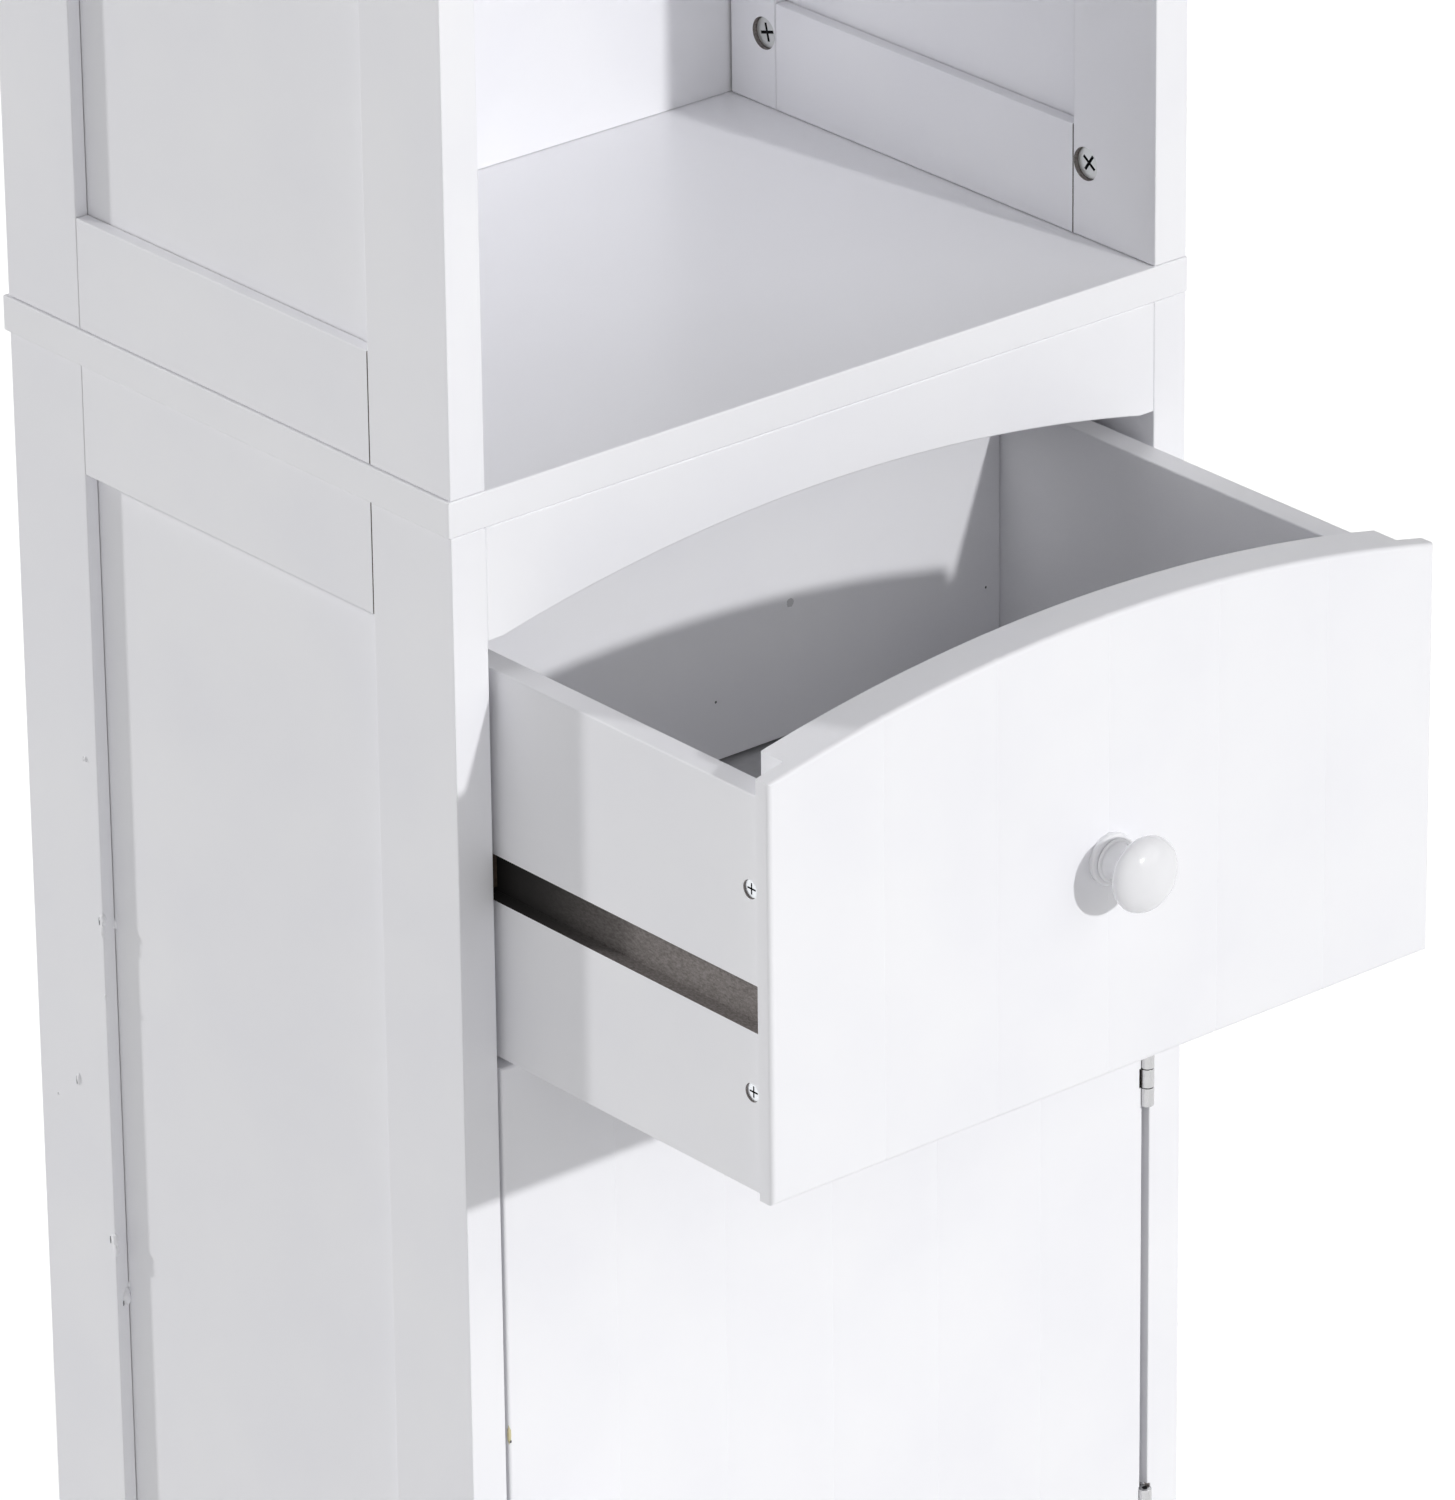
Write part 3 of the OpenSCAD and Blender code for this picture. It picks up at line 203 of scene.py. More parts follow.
def relief(tree, shader, height, depthMm, under=None):
    inputs = {"Height": height, "Distance": depthMm * mm, "Strength": 1}
    if under is not None:
        inputs["Normal"] = under
    bump = addNode(tree, "ShaderNodeBump", None, inputs)
    tree.links.new(bump.outputs["Normal"], shader.inputs["Normal"])
    return bump.outputs["Normal"]


def satinPaint():
    # Sprayed white satin lacquer on fibreboard: nearly even white, with a soft sheen, a faint
    # orange peel a few millimetres wide and a slight wave from sanding.
    material, tree, shader, place = newMaterial("white satin lacquer")
    tone = twoTone(tree, noise(tree, place, 60, 3), "#F6F6FA", "#F9F9FC")
    tree.links.new(tone, shader.inputs["Base Color"])
    tree.links.new(spread(tree, noise(tree, place, 9), 0.4, 0.5), shader.inputs["Roughness"])
    wave = relief(tree, shader, noise(tree, place, 26, 1), 0.05)
    relief(tree, shader, noise(tree, place, 2.4, 2), 0.012, wave)
    shader.inputs["IOR"].default_value = 1.48
    return material


def boardPaint():
    # The same white on the flat boards, rolled smoother: it shows a dim reflection at low angles.
    material, tree, shader, place = newMaterial("white semi-gloss lacquer")
    tone = twoTone(tree, noise(tree, place, 90, 2), "#F7F7FA", "#F9F9FC")
    tree.links.new(tone, shader.inputs["Base Color"])
    shader.inputs["Roughness"].default_value = 0.28
    shader.inputs["IOR"].default_value = 1.45
    return material


def rawBoard(name, shadeDepths=None):
    # Cut fibreboard without paint: brown-grey, matt, with fibres about a millimetre wide and twice as
    # long. Given two depths, the board goes dark from one to the next, in mm behind the cabinet's front
    # plane, so a negative depth lies in front of it: this darkening is painted shade, where the stile
    # shades the groove.
    material, tree, shader, place = newMaterial(name)
    fibres = noise(tree, place, 0.9, 6, 0.7, (1, 0.45, 1))
    tone = twoTone(tree, fibres, "#6F6966", "#989290")
    if shadeDepths:
        depth = addNode(tree, "ShaderNodeSeparateXYZ", None, {0: place}).outputs["Y"]
        share = addNode(tree, "ShaderNodeMapRange", {"interpolation_type": "SMOOTHSTEP"},
                        {"Value": depth, "From Min": frontY + shadeDepths[0] * mm,
                         "From Max": frontY + shadeDepths[1] * mm})
        both = addNode(tree, "ShaderNodeMix", {"data_type": "RGBA"}, {"Factor": share.outputs["Result"]})
        tree.links.new(tone, both.inputs[6])    # 6 and 7 are the two colours, and output 2 their mix
        # painted shade: near black where the left stile shades the drawer's groove
        both.inputs[7].default_value = linear("#1C1A19")
        tone = both.outputs[2]
    tree.links.new(tone, shader.inputs["Base Color"])
    shader.inputs["Roughness"].default_value = 0.95
    relief(tree, shader, fibres, 0.12)
    return material


def greyFoil():
    # Thin fibreboard under grey paper foil: dull, slightly mottled.
    material, tree, shader, place = newMaterial("grey foiled fibreboard")
    tone = twoTone(tree, noise(tree, place, 5, 4), "#BDBDC0", "#C4C4C7")
    tree.links.new(tone, shader.inputs["Base Color"])
    shader.inputs["Roughness"].default_value = 0.6
    relief(tree, shader, noise(tree, place, 1.2, 3), 0.02)
    return material


def planedWood(name, pale, dark):
    # Planed wood, bare or darkened as painted shade: grain lines along the piece and short flecks in the
    # darker tone.
    material, tree, shader, place = newMaterial(name)
    grain = noise(tree, place, 3.5, 5, 0.6, (1, 0.06, 1))
    tree.links.new(twoTone(tree, grain, dark, pale, 0.3, 0.6), shader.inputs["Base Color"])
    shader.inputs["Roughness"].default_value = 0.62
    relief(tree, shader, grain, 0.08)
    return material


def metal(name, colour, low, high, grainMm, stretch=(1, 1, 1), depthMm=0.004):
    # Plated, tumbled or oiled metal, or metal made dark as painted shade: one colour, whose gloss comes
    # and goes between two roughnesses with a fine grain, and a relief that is only just seen.
    material, tree, shader, place = newMaterial(name)
    grain = noise(tree, place, grainMm, 3, 0.6, stretch)
    shader.inputs["Base Color"].default_value = linear(colour)
    shader.inputs["Metallic"].default_value = 1
    tree.links.new(spread(tree, grain, low, high), shader.inputs["Roughness"])
    relief(tree, shader, grain, depthMm)
    return material


def glaze():
    # Glazed ceramic: white under a clear gloss, which gives one sharp highlight.
    material, tree, shader, place = newMaterial("white glazed ceramic")
    tone = twoTone(tree, noise(tree, place, 18, 2), "#EFEFF2", "#F2F2F5")
    tree.links.new(tone, shader.inputs["Base Color"])
    shader.inputs["Roughness"].default_value = 0.12
    shader.inputs["Coat Weight"].default_value = 0.2
    shader.inputs["Coat Roughness"].default_value = 0.04
    relief(tree, shader, noise(tree, place, 6, 1), 0.01)
    return material


def fineGrained(name, colour, roughness):
    # Moulded plastic, filler, dust or painted shade: one even colour with a fine matt grain.
    material, tree, shader, place = newMaterial(name)
    shader.inputs["Base Color"].default_value = linear(colour)
    shader.inputs["Roughness"].default_value = roughness
    relief(tree, shader, noise(tree, place, 0.5, 2), 0.01)
    return material


paint = satinPaint()
glossPaint = boardPaint()
fibreboard = rawBoard("raw fibreboard")
# the drawer sides' grooves: raw fibreboard with painted shade, dark towards the stile
grooveShadeBoard = rawBoard("raw fibreboard with painted shade near the stile", (-105, -8))
foil = greyFoil()
# the runners' pine is coloured dark as painted shade, where the groove lies in the stile's shade
shadePine = planedWood("pine darkened as painted shade", "#5A4C3E", "#3F352C")
beech = planedWood("beech dowel", "#D2B48C", "#B9966B")
zinc = metal("zinc-plated steel", "#E3E6EA", 0.22, 0.36, 0.8)
castZinc = metal("tumbled die-cast zinc", "#E0E2E0", 0.34, 0.46, 0.6, depthMm=0.02)
# near black zinc for the cross recesses: painted shade
recessShadeZinc = metal("zinc darkened as painted shade in a cross recess", "#2E2F30", 0.6, 0.75, 0.5)
nickel = metal("nickel-plated steel", "#C6C6C7", 0.18, 0.34, 0.9, (1, 1, 0.15), depthMm=0.01)
# hinge pins: oiled steel, coloured near black so the gaps between the knuckles read dark, which is partly
# painted shade
pinShadeSteel = metal("oiled steel pin darkened as painted shade", "#2B2B2D", 0.5, 0.65, 0.9)
ceramic = glaze()
nylon = fineGrained("moulded nylon", "#D9D9D4", 0.5)
whitePlastic = fineGrained("white moulded plastic", "#E9E9E6", 0.35)
filler = fineGrained("bare yellow filler in a paint chip", "#D9CFA6", 0.8)
dust = fineGrained("dust speck under the lacquer", "#5A5A5C", 0.7)
# grey for the painted shade beside the paint nibs
nibShade = fineGrained("painted shade beside a paint nib", "#8A8A8D", 0.8)
dullSpot = fineGrained("dull grey spot on the lacquer", "#CFCFD1", 0.6)
print("materials made")


def dress(name, material):
    data = nodes[name].data
    data.materials.clear()
    data.materials.append(material)


finishes = {
    "foot_glides": nylon, "magnetic_catches": whitePlastic, "dowels": beech,
    "drawer_runners": shadePine, "drawer_bottom": foil, "cam_locks": castZinc, "cam_bolts": zinc,
    "shelf_pins": nickel, "cabinet_hinge_leaves": nickel, "hinge_pins": pinShadeSteel,
    "lower_door_hinge_leaves": nickel, "upper_door_hinge_leaves": nickel,
    "carcass_screws": zinc, "drawer_screws": zinc, "lower_door_screws": zinc,
    "upper_door_screws": zinc, "lower_door_strike": zinc, "upper_door_strike": zinc,
    "wall_bracket": zinc, "drawer_knob": ceramic, "lower_door_knob": ceramic,
    "upper_door_knob": ceramic,
}
for name in nodes:
    dress(name, finishes.get(name, paint))


# shared modelling steps

near = {"side": 0.05, "rim": 0.02, "joint": 0.7, "outline": 1}    # mm within which a point is on a face
weld = 1e-6    # metres between two points that are one
snap = 1e-7    # metres between a point and a cutting plane that it lies on
flatDegrees = 0.2    # faces that turn less than this are one face
cornerDegrees = 60    # the edges of an outline turn more than this, those of a groove less


def standFor(piece, node):
    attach(piece, bodyOf[node])
    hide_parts(node)


def makeObject(name, bm, *materials):
    data = bpy.data.meshes.new(name)
    bm.to_mesh(data)
    bm.free()
    for material in materials:
        data.materials.append(material)
    piece = bpy.data.objects.new(name, data)
    bpy.context.scene.collection.objects.link(piece)
    return piece


def softenShading(bm, sharpDegrees=35):
    for face in bm.faces:
        face.smooth = True
    for edge in bm.edges:
        edge.smooth = edge.calc_face_angle(math.pi) < math.radians(sharpDegrees)


def weighNormals(piece):
    weigh = piece.modifiers.new("weigh normals", "WEIGHTED_NORMAL")
    weigh.keep_sharp = True


def roundEdges(bm, edges, radius, segments):
    bmesh.ops.bevel(bm, geom=edges, offset=radius, offset_type="OFFSET", affect="EDGES",
                    segments=segments, profile=0.5, material=-1, clamp_overlap=False)


def planesTouched(edge, low, high):
    # how many sides of the box between low and high the edge lies in
    count = 0
    for axis in range(3):
        for side in (low[axis], high[axis]):
            if all(abs(v.co[axis] - side) < near["side"] * mm for v in edge.verts):
                count += 1
    return count


def copyNode(node):
    bm = bmesh.new()
    bm.from_mesh(nodes[node].data)
    bmesh.ops.remove_doubles(bm, verts=bm.verts, dist=weld)
    bmesh.ops.dissolve_limit(bm, angle_limit=math.radians(flatDegrees), verts=bm.verts, edges=bm.edges,
                             use_dissolve_boundaries=False)
    return bm


easing = {
    "frame": 0.6, "board": 0.8,    # radius of a rounded arris
    "turn": 50, "length": 4,    # an arris turns by at least these degrees, and is at least these mm long
    "cut": 0.3,    # what lies deeper in the piece than this was cut into the wood
}


def easedPiece(node, radiusMm, material=paint):
    # copy of a board with its outer arrises rounded; what was cut into the wood is raw board
    low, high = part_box(node)
    bm = copyNode(node)
    arrises = []
    for edge in bm.edges:
        slight = edge.calc_face_angle(0) < math.radians(easing["turn"])
        short = edge.calc_length() < easing["length"] * mm
        if not slight and not short and planesTouched(edge, low, high) >= 2:
            arrises.append(edge)
    roundEdges(bm, arrises, radiusMm * mm, segments=3)
    softenShading(bm)
    skin = easing["cut"] * mm
    for face in bm.faces:
        centre = face.calc_center_median()
        inside = all(low[i] + skin < centre[i] < high[i] - skin for i in range(3))
        face.material_index = int(inside)
    piece = makeObject(node + "_eased", bm, material, fibreboard)
    weighNormals(piece)
    standFor(piece, node)
    return piece


def drawBack(piece, axis, plane, byMm):
    # pull the face of a piece that lies in a plane back, which leaves a dark hairline at the joint
    for vertex in piece.data.vertices:
        place = getattr(vertex.co, axis)
        if abs(place - plane) < near["joint"] * mm:
            setattr(vertex.co, axis, place + byMm * mm)


hairline = {"rail": 0.35, "board": 0.3, "panel": 0.35, "back": 1.3, "drawer": 0.8}
# the rails' shoulders, where they meet the stiles
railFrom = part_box("lower_left_front_stile")[1].y
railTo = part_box("lower_left_back_stile")[0].y

for level in ("lower", "upper"):
    for side in ("left", "right"):
        for part in ("front_stile", "back_stile", "top_rail", "bottom_rail"):
            node = f"{level}_{side}_{part}"
            piece = easedPiece(node, easing["frame"])
            if part.endswith("rail"):
                drawBack(piece, "y", railFrom, hairline["rail"])
                drawBack(piece, "y", railTo, -hairline["rail"])
            if level == "upper" and part != "top_rail":
                drawBack(piece, "z", midTop, hairline["board"])
        node = f"{level}_{side}_panel"
        panel = makeObject(node + "_thinned", copyNode(node), paint)
        drawBack(panel, "x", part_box(node)[0].x, hairline["panel"])
        drawBack(panel, "x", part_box(node)[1].x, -hairline["panel"])
        standFor(panel, node)
for node in ("lower_back_panel", "upper_back_panel"):
    panel = makeObject(node + "_thinned", copyNode(node), paint)
    drawBack(panel, "y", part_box(node)[0].y, hairline["back"])
    drawBack(panel, "z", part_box(node)[0].z, hairline["board"])
    standFor(panel, node)
for node in ("middle_board", "top_board"):
    easedPiece(node, easing["board"], glossPaint)
for node in ("base_board", "drawer_shelf", "cupboard_shelf", "lower_shelf", "upper_shelf"):
    easedPiece(node, easing["frame"])
print("frames and boards eased")


# arched strips: two fascias and the apron

arch = {"rise": 19, "foot": 8, "arris": 0.8, "steps": 72}
archHalf = innerX - arch["foot"] * mm
archRadius = (archHalf ** 2 + (arch["rise"] * mm) ** 2) / (2 * arch["rise"] * mm)


def drop(x, radius):
    # how far a circle falls from its crown at distance x from the middle
    return radius - math.sqrt(max(0, radius ** 2 - x ** 2))


def growTo(bm, faces, depth):
    for item in bmesh.ops.extrude_face_region(bm, geom=faces)["geom"]:
        if isinstance(item, bmesh.types.BMVert):
            item.co.y = depth


def boardOfColumns(places, frontAt, backY, lowerAt, upperAt):
    # closed board in front view: at each x of places, from lowerAt(x) to upperAt(x)
    bm = bmesh.new()
    lower = [bm.verts.new((x, frontAt(x), lowerAt(x))) for x in places]
    upper = [bm.verts.new((x, frontAt(x), upperAt(x))) for x in places]
    faces = [bm.faces.new((lower[i], lower[i + 1], upper[i + 1], upper[i])) for i in range(len(places) - 1)]
    growTo(bm, faces, backY)
    bmesh.ops.recalc_face_normals(bm, faces=bm.faces)
    return bm


def outlineEdges(bm, depth):
    # edges of the outline that lie near one depth, without the grooves between the planks
    return [edge for edge in bm.edges if edge.calc_face_angle(0) > math.radians(cornerDegrees)
            and all(abs(v.co.y - depth) < near["outline"] * mm for v in edge.verts)]


def archedStrip(node):
    low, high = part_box(node)
    steps = arch["steps"]
    places = [-innerX] + [archHalf * (2 * i / steps - 1) for i in range(steps + 1)] + [innerX]
    crown = low.z + arch["rise"] * mm
    bm = boardOfColumns(places, lambda x: low.y, high.y,
                        lambda x: max(low.z, crown - drop(x, archRadius)), lambda x: high.z)
    roundEdges(bm, outlineEdges(bm, low.y) + outlineEdges(bm, high.y), arch["arris"] * mm, segments=3)
    softenShading(bm)
    piece = makeObject(node + "_eased", bm, paint)
    weighNormals(piece)
    standFor(piece, node)


for node in ("drawer_fascia", "upper_fascia", "apron"):
    archedStrip(node)
print("arched strips made")


# drawer box

for node in ("drawer_left_side", "drawer_right_side"):
    side = easedPiece(node, easing["board"])
    # the groove's raw board carries painted shade near the stile
    side.data.materials[1] = grooveShadeBoard
    drawBack(side, "y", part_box(node)[0].y, hairline["drawer"])    # shade before the front's lip
back = easedPiece("drawer_back", easing["board"])
drawBack(back, "z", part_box("drawer_back")[0].z, hairline["drawer"])    # the gap over the bottom
print("drawer box eased")


# fronts: drawer front and doors

fronts = {
    "grooveWidth": 2.4, "grooveDepth": 0.4, "planks": 6, "plankSteps": 10,
    "drawerArris": 2.2, "doorArris": 1.4, "backArris": 0.5,
    "reveal": 3,    # even gap under the arch of a fascia
    "past": 5,    # how far the cutter for the drawer's bottom stands past the wood
}


def carve(piece, bm):
    cutter = makeObject("cutter", bm)
    cut = piece.modifiers.new("cut", "BOOLEAN")
    cut.operation = "DIFFERENCE"
    cut.solver = "EXACT"
    cut.object = cutter
    bpy.context.view_layer.objects.active = piece
    bpy.ops.object.modifier_apply(modifier="cut")
    bpy.data.objects.remove(cutter)


def plankPlaces(left, right):
    # x of every column, and of the grooves' middles among them
    pitch = (right - left) / fronts["planks"]
    half = fronts["grooveWidth"] * mm / 2
    places, grooves = [], []
    for i in range(fronts["planks"]):
        start = left + i * pitch + (half if i > 0 else 0)
        end = left + (i + 1) * pitch - (half if i < fronts["planks"] - 1 else 0)
        steps = fronts["plankSteps"]
        places += [start + (end - start) * k / steps for k in range(steps + 1)]
        if i < fronts["planks"] - 1:
            grooves.append(left + (i + 1) * pitch)
            places.append(grooves[-1])
    return places, grooves


def plankedPanel(node, backY, crowned):
    low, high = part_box(node)
    places, grooves = plankPlaces(low.x, high.x)
    radius = archRadius - fronts["reveal"] * mm
    return boardOfColumns(
        places, lambda x: low.y + (fronts["grooveDepth"] * mm if x in grooves else 0), backY,
        lambda x: low.z, lambda x: high.z - (drop(x, radius) if crowned else 0))


def finishFront(panel, node):
    bm = bmesh.new()
    bm.from_mesh(panel.data)
    softenShading(bm, sharpDegrees=30)
    bm.to_mesh(panel.data)
    bm.free()
    weighNormals(panel)
    standFor(panel, node)


def block(bm, low, high):
    made = bmesh.ops.create_cube(bm, size=1)["verts"]
    bmesh.ops.scale(bm, vec=Vector(high) - Vector(low), verts=made)
    bmesh.ops.translate(bm, vec=(Vector(high) + Vector(low)) / 2, verts=made)


def drawerFront():
    low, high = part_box("drawer_front")
    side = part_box("drawer_right_side")[0]
    bm = plankedPanel("drawer_front", side.y, True)
    # the core behind the lip fits between the sides
    for x in (-side.x, side.x):
        bmesh.ops.bisect_plane(bm, geom=bm.verts[:] + bm.edges[:] + bm.faces[:], plane_co=(x, 0, 0),
                               plane_no=(1, 0, 0), dist=snap)
    behind = [face for face in bm.faces if abs(face.calc_center_median().y - side.y) < near["side"] * mm
              and abs(face.calc_center_median().x) < side.x]
    growTo(bm, behind, high.y)
    bmesh.ops.delete(bm, geom=behind, context="FACES")
    bmesh.ops.recalc_face_normals(bm, faces=bm.faces)
    roundEdges(bm, outlineEdges(bm, low.y), fronts["drawerArris"] * mm, segments=4)
    roundEdges(bm, outlineEdges(bm, high.y), fronts["backArris"] * mm, segments=2)
    panel = makeObject("drawer_front_rounded", bm, paint, fibreboard)
    sheetLow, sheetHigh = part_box("drawer_bottom")
    past = fronts["past"] * mm
    bm = bmesh.new()
    block(bm, (-side.x - past, sheetLow.y, sheetLow.z), (side.x + past, high.y + past, sheetHigh.z))
    carve(panel, bm)
    finishFront(panel, "drawer_front")


def cylinderUp(bm, centre, radius, length):
    made = bmesh.ops.create_cone(bm, cap_ends=True, segments=48, radius1=radius, radius2=radius,
                                 depth=length)["verts"]
    bmesh.ops.translate(bm, vec=centre, verts=made)


hinge = {
    "x": 180, "out": 0.6,    # the pin stands right of the middle and before the front plane
    "height": 46,
    "radius": 3.05, "knuckles": 5, "cabinetKnuckles": (1, 3), "rim": 0.35,
    "clear": 0.25, "bay": 1.2,    # gap in the wood round the door's own knuckles and the cabinet's
    "past": 2, "overlap": 0.1,    # how far the cutters stand past the hinge and past one knuckle
}


def door(node, crowned):
    low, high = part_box(node)
    bm = plankedPanel(node, high.y, crowned)
    roundEdges(bm, outlineEdges(bm, low.y), fronts["doorArris"] * mm, segments=4)
    roundEdges(bm, outlineEdges(bm, high.y), fronts["backArris"] * mm, segments=2)
    panel = makeObject(node + "_rounded", bm, paint, fibreboard)
    leafLow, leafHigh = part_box(node + "_hinge_leaves")
    bm = bmesh.new()
    hingeFeet = (leafLow.z, leafHigh.z - hinge["height"] * mm)
    for z in hingeFeet:    # room for the knuckles
        cylinderUp(bm, (hinge["x"] * mm, frontY - hinge["out"] * mm, z + hinge["height"] * mm / 2),
                   (hinge["radius"] + hinge["clear"]) * mm, (hinge["height"] + hinge["past"]) * mm)
    carve(panel, bm)
    bm = bmesh.new()
    knuckle = hinge["height"] * mm / hinge["knuckles"]
    for z in hingeFeet:    # wider beside the cabinet's knuckles
        for i in hinge["cabinetKnuckles"]:
            cylinderUp(bm, (hinge["x"] * mm, frontY - hinge["out"] * mm, z + (i + 0.5) * knuckle),
                       (hinge["radius"] + hinge["bay"]) * mm, knuckle + hinge["overlap"] * mm)
    for face in bm.faces:    # bare wood
        face.material_index = 1
    carve(panel, bm)
    finishFront(panel, node)


drawerFront()
door("lower_door", False)
door("upper_door", True)
print("fronts made")


# hinges

def hingeLeaves(node):
    bm = copyNode(node)
    rims = []
    for edge in bm.edges:
        a, b = (v.co for v in edge.verts)
        onKnuckle = all(abs(math.hypot(v.x - hinge["x"] * mm, v.y - frontY + hinge["out"] * mm)
                            - hinge["radius"] * mm) < near["rim"] * mm for v in (a, b))
        level = abs(a.z - b.z) < near["rim"] * mm
        if onKnuckle and level and edge.calc_face_angle(0) > math.radians(cornerDegrees):
            rims.append(edge)
    roundEdges(bm, rims, hinge["rim"] * mm, segments=2)
    softenShading(bm)
    piece = makeObject(node + "_rounded", bm, nickel)
    weighNormals(piece)
    standFor(piece, node)


for node in ("cabinet_hinge_leaves", "lower_door_hinge_leaves", "upper_door_hinge_leaves"):
    hingeLeaves(node)
print("hinges rounded")


# knobs

knob = {
    "flangeRadius": 11.5, "flangeThick": 3.0, "flangeRound": (1.2, 1.4), "seat": 0.3,
    "ringRadius": 9.5, "ringTop": 4.9, "ringRound": 0.9, "step": (0.4, 0.1),
    "waistRadius": 7.6, "waistAt": 9.6, "waistRound": 0.8,
    "coveAt": 18.38, "hollow": 1.8, "neckSteps": 15,    # a hollow of 1 would make the neck a plain cone
    "headRadius": 16.55, "rim": 3.6, "rimAt": 21.5, "rimStart": -60, "rimStep": 6,
    "reach": 30.0, "turnSteps": 72,
}


def arcPoints(centreR, centreZ, radiusR, radiusZ, startDeg, endDeg, count):
    for i in range(count + 1):
        angle = math.radians(startDeg + (endDeg - startDeg) * i / count)
        yield centreR + radiusR * math.cos(angle), centreZ + radiusZ * math.sin(angle)


def knobProfile():
    # half section: radius and height above the wood, from the foot to the crown
    k = knob
    roundR, roundZ = k["flangeRound"]
    points = [(0, 0), (k["flangeRadius"] - k["seat"], 0)]
    points += arcPoints(k["flangeRadius"] - roundR, k["flangeThick"] - roundZ, roundR, roundZ, -20, 80, 6)
    points.append((k["ringRadius"] + k["step"][0], k["flangeThick"] + k["step"][1]))
    ringMiddle = (k["flangeThick"] + k["ringTop"]) / 2
    ringHalf = (k["ringTop"] - k["flangeThick"]) / 2
    points += arcPoints(k["ringRadius"] - k["ringRound"], ringMiddle, k["ringRound"], ringHalf, -70, 85, 7)
    points += arcPoints(k["waistRadius"] + k["waistRound"], k["waistAt"],
                        -k["waistRound"], k["ringTop"] - k["waistAt"], 80, 0, 6)
    coveRadius = k["headRadius"] - k["rim"] * (1 - math.cos(math.radians(k["rimStart"])))
    for i in range(1, k["neckSteps"]):
        u = i / k["neckSteps"]
        points.append((k["waistRadius"] + (coveRadius - k["waistRadius"]) * u ** k["hollow"],
                       k["waistAt"] + (k["coveAt"] - k["waistAt"]) * u))
    points += arcPoints(k["headRadius"] - k["rim"], k["rimAt"], k["rim"], k["rim"],
                        k["rimStart"] + k["rimStep"], 0, 9)
    crown = k["reach"] - k["rimAt"]
    points += list(arcPoints(0, k["rimAt"], k["headRadius"], crown, 0, 90, 18))[1:-1]
    points.append((0, k["reach"]))
    return points


def turnedKnob(node):
    low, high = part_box(node)
    centre = Vector(((low.x + high.x) / 2, high.y, (low.z + high.z) / 2))
    bm = bmesh.new()
    chain = [bm.verts.new((r * mm, 0, z * mm)) for r, z in knobProfile()]
    edges = [bm.edges.new(pair) for pair in zip(chain, chain[1:])]
    bmesh.ops.spin(bm, geom=chain + edges, cent=(0, 0, 0), axis=(0, 0, 1), angle=2 * math.pi,
                   steps=knob["turnSteps"], use_merge=True, use_duplicate=False)
    bmesh.ops.remove_doubles(bm, verts=bm.verts, dist=weld)
    bmesh.ops.recalc_face_normals(bm, faces=bm.faces)
    bmesh.ops.rotate(bm, cent=(0, 0, 0), matrix=Matrix.Rotation(math.pi / 2, 3, "X"), verts=bm.verts)
    bmesh.ops.translate(bm, vec=centre, verts=bm.verts)
    softenShading(bm, sharpDegrees=40)
    piece = makeObject(node + "_turned", bm, ceramic)
    standFor(piece, node)


for node in ("drawer_knob", "lower_door_knob", "upper_door_knob"):
    turnedKnob(node)
print("knobs turned")


# screws and cam locks: rounded rims, painted shade in the cross recess

crossHead = {
    "outer": 0.95, "inner": 0.8, "recess": 0.66,    # shares of the head's radius
    "shallow": 0.03, "deep": 1.6,    # depths between which the recess gets painted shade
    "camRim": 0.35, "screwRim": 0.2,
}


def islands(bm):
    # the vertices of each loose part in turn
    left = set(bm.verts)
    while left:
        group, waiting = [], [left.pop()]
        while waiting:
            vertex = waiting.pop()
            group.append(vertex)
            beside = {edge.other_vert(vertex) for edge in vertex.link_edges} & left
            left -= beside
            waiting += beside
        yield group


def crossHeads(node, metalFinish, rimMm):
    bm = copyNode(node)
    rims = []
    for group in islands(bm):
        low = [min(v.co[i] for v in group) for i in range(3)]
        high = [max(v.co[i] for v in group) for i in range(3)]
        size = [high[i] - low[i] for i in range(3)]
        # a turned part is as wide as it is high, so its axis is the side that differs
        axis = max(range(3), key=lambda i: abs(size[i] - size[i - 1]) + abs(size[i] - size[i - 2]))
        across = [i for i in range(3) if i != axis]
        reach = size[across[0]] / 2

        def radial(place):
            return math.hypot(*(place[i] - (low[i] + high[i]) / 2 for i in across)) / reach

        for end, way in ((low[axis], 1), (high[axis], -1)):
            onEnd = {v for v in group if abs(v.co[axis] - end) < near["rim"] * mm}
            outer = {v for v in onEnd if radial(v.co) > crossHead["outer"]}
            if not outer or not any(radial(v.co) < crossHead["inner"] for v in onEnd):
                continue
            rims += {edge for v in outer for edge in v.link_edges if edge.other_vert(v) in outer}
            for face in {face for v in group for face in v.link_faces}:
                centre = face.calc_center_median()
                depth = (centre[axis] - end) * way / mm
                sunk = crossHead["shallow"] < depth < crossHead["deep"]
                if sunk and radial(centre) < crossHead["recess"]:
                    # painted shade: the recess's faces take the near black zinc
                    face.material_index = 1
    roundEdges(bm, list(set(rims)), rimMm * mm, segments=2)
    softenShading(bm)
    piece = makeObject(node + "_cross", bm, metalFinish, recessShadeZinc)
    weighNormals(piece)
    standFor(piece, node)


crossHeads("cam_locks", castZinc, crossHead["camRim"])
for node in ("drawer_screws", "carcass_screws", "lower_door_screws", "upper_door_screws"):
    crossHeads(node, zinc, crossHead["screwRim"])
print("screws and cam locks made")


# small faults of the paint that the photo shows

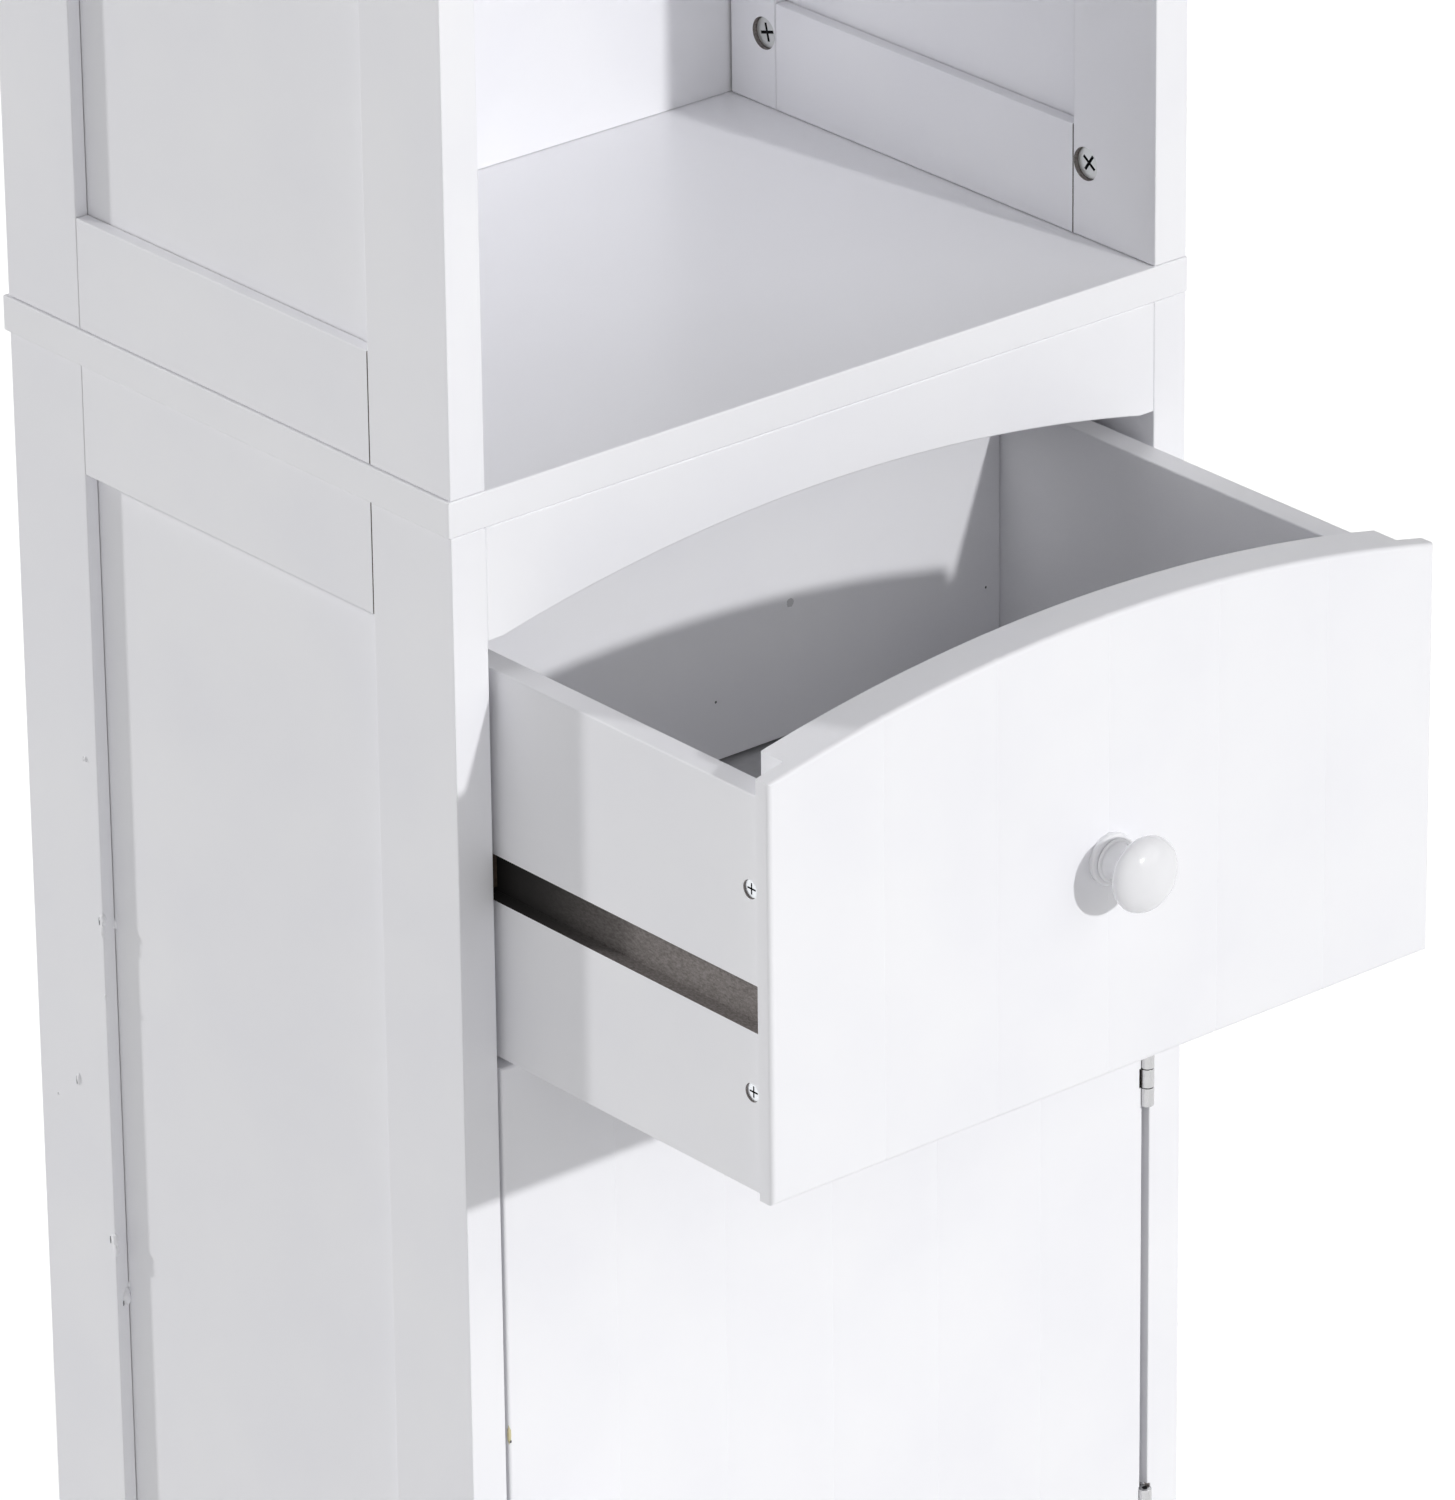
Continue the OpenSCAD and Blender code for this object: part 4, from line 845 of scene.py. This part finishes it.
blob = {"subdivisions": 3, "uneven": 0.16, "seed": 4}


def lump(bm, centre, size):
    # low uneven blob from a ball one unit wide, about half of it sunk in the wood
    made = bmesh.ops.create_icosphere(bm, subdivisions=blob["subdivisions"], radius=0.5)["verts"]
    for vertex in made:
        vertex.co *= 1 + random.uniform(-blob["uneven"], blob["uneven"])
    bmesh.ops.scale(bm, vec=Vector(size) * mm, verts=made)
    bmesh.ops.translate(bm, vec=centre, verts=made)


def faults(name, body, material, spots):
    # spots are pairs of a centre in metres and a size in mm
    bm = bmesh.new()
    for place, size in spots:
        lump(bm, place, size)
    softenShading(bm, sharpDegrees=60)
    piece = makeObject(name, bm, material)
    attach(piece, body)


def onStile(behindMm, upMm, inMm=0):
    # behind the left back stile's front arris, above the middle board's top, in from the left face
    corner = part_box("lower_left_back_stile")[0]
    return Vector((corner.x + inMm * mm, corner.y + behindMm * mm, midTop + upMm * mm))


def inDrawer(acrossMm, upMm):
    # on the front of the drawer's back, right of the middle
    return Vector((acrossMm * mm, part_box("drawer_back")[0].y, midTop + upMm * mm))


def onDoorEdge(inMm, behindMm, upMm):
    # in from the lower door's left edge and behind the front plane
    return Vector((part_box("lower_door")[0].x + inMm * mm, frontY + behindMm * mm, midTop + upMm * mm))


random.seed(blob["seed"])
faults("lacquer_nibs", "carcass", paint, [
    (onStile(8, -200, 0.2), (1.9, 2.8, 2.6)), (onStile(22, -357, 0.3), (2, 2.8, 6)),
    (onStile(38, -370), (0.8, 1.2, 1.2)), (onStile(0.2, -310), (1.2, 1.6, 3)),
    (onStile(0.4, -273, 0.3), (2.1, 4, 5.5)), (onStile(0.8, -279, 0.3), (2, 3.2, 6.5)),
    (onStile(0.6, -427, 0.4), (2.2, 5, 5.5)), (onStile(0.2, -432, 0.3), (2, 3.8, 7)),
    (onStile(0, -277, 7), (2.8, 2.2, 5.5)), (onStile(0, -456, 5), (3.8, 3, 8)),
    (onStile(0, -451, 7), (2.4, 2, 4)),
])
# painted shade: grey marks beside the nibs, where their edges shade the stile
faults("painted_shade_by_the_nibs", "carcass", nibShade, [
    (onStile(9.4, -200.4, 0.1), (0.7, 0.8, 2.2)), (onStile(23.5, -358, 0.1), (0.8, 0.7, 4.5)),
    (onStile(2.6, -274.5, 0.1), (0.8, 0.7, 4)), (onStile(3.4, -428, 0.1), (0.8, 0.8, 4)),
    (onStile(0.1, -459, 3.2), (1, 0.5, 3)), (onStile(0.1, -279.5, 7.5), (1.6, 0.6, 3)),
])
faults("specks_in_drawer", "drawer", dust, [
    (inDrawer(5, -176), (1.2, 0.3, 1.2)), (inDrawer(158, -167), (1, 0.3, 1.2)),
])
faults("spot_in_drawer", "drawer", dullSpot, [(inDrawer(47, -142), (4, 0.12, 4))])
faults("chip_on_door", "lower_door", filler, [(onDoorEdge(0.4, 0.8, -431), (1.6, 1.8, 9))])
faults("speck_on_door", "lower_door", dust, [(onDoorEdge(0.6, 0.2, -434), (1, 0.8, 1.4))])
print("paint faults made")


# floor

ground = {"colour": "#EDEDED", "roughness": 0.9, "glow": 0.62, "size": 30}    # size in metres


def floorMaterial():
    # pale studio floor that the eye sees as white except where the object shades it
    material, tree, shader, place = newMaterial("pale floor")
    shader.inputs["Base Color"].default_value = linear(ground["colour"])
    shader.inputs["Roughness"].default_value = ground["roughness"]
    glow = addNode(tree, "ShaderNodeEmission", None, {"Color": (1, 1, 1, 1)})
    tree.links.new(spread(tree, seenDirectly(tree), 0, ground["glow"]), glow.inputs["Strength"])
    both = addNode(tree, "ShaderNodeAddShader", None, {0: shader.outputs[0], 1: glow.outputs[0]})
    for node in tree.nodes:
        if node.type == "OUTPUT_MATERIAL":
            tree.links.new(both.outputs[0], node.inputs["Surface"])
    return material


def addFloor():
    bm = bmesh.new()
    bmesh.ops.create_grid(bm, x_segments=1, y_segments=1, size=ground["size"])
    floor = makeObject("floor", bm, floorMaterial())


addFloor()
print("scene ready")
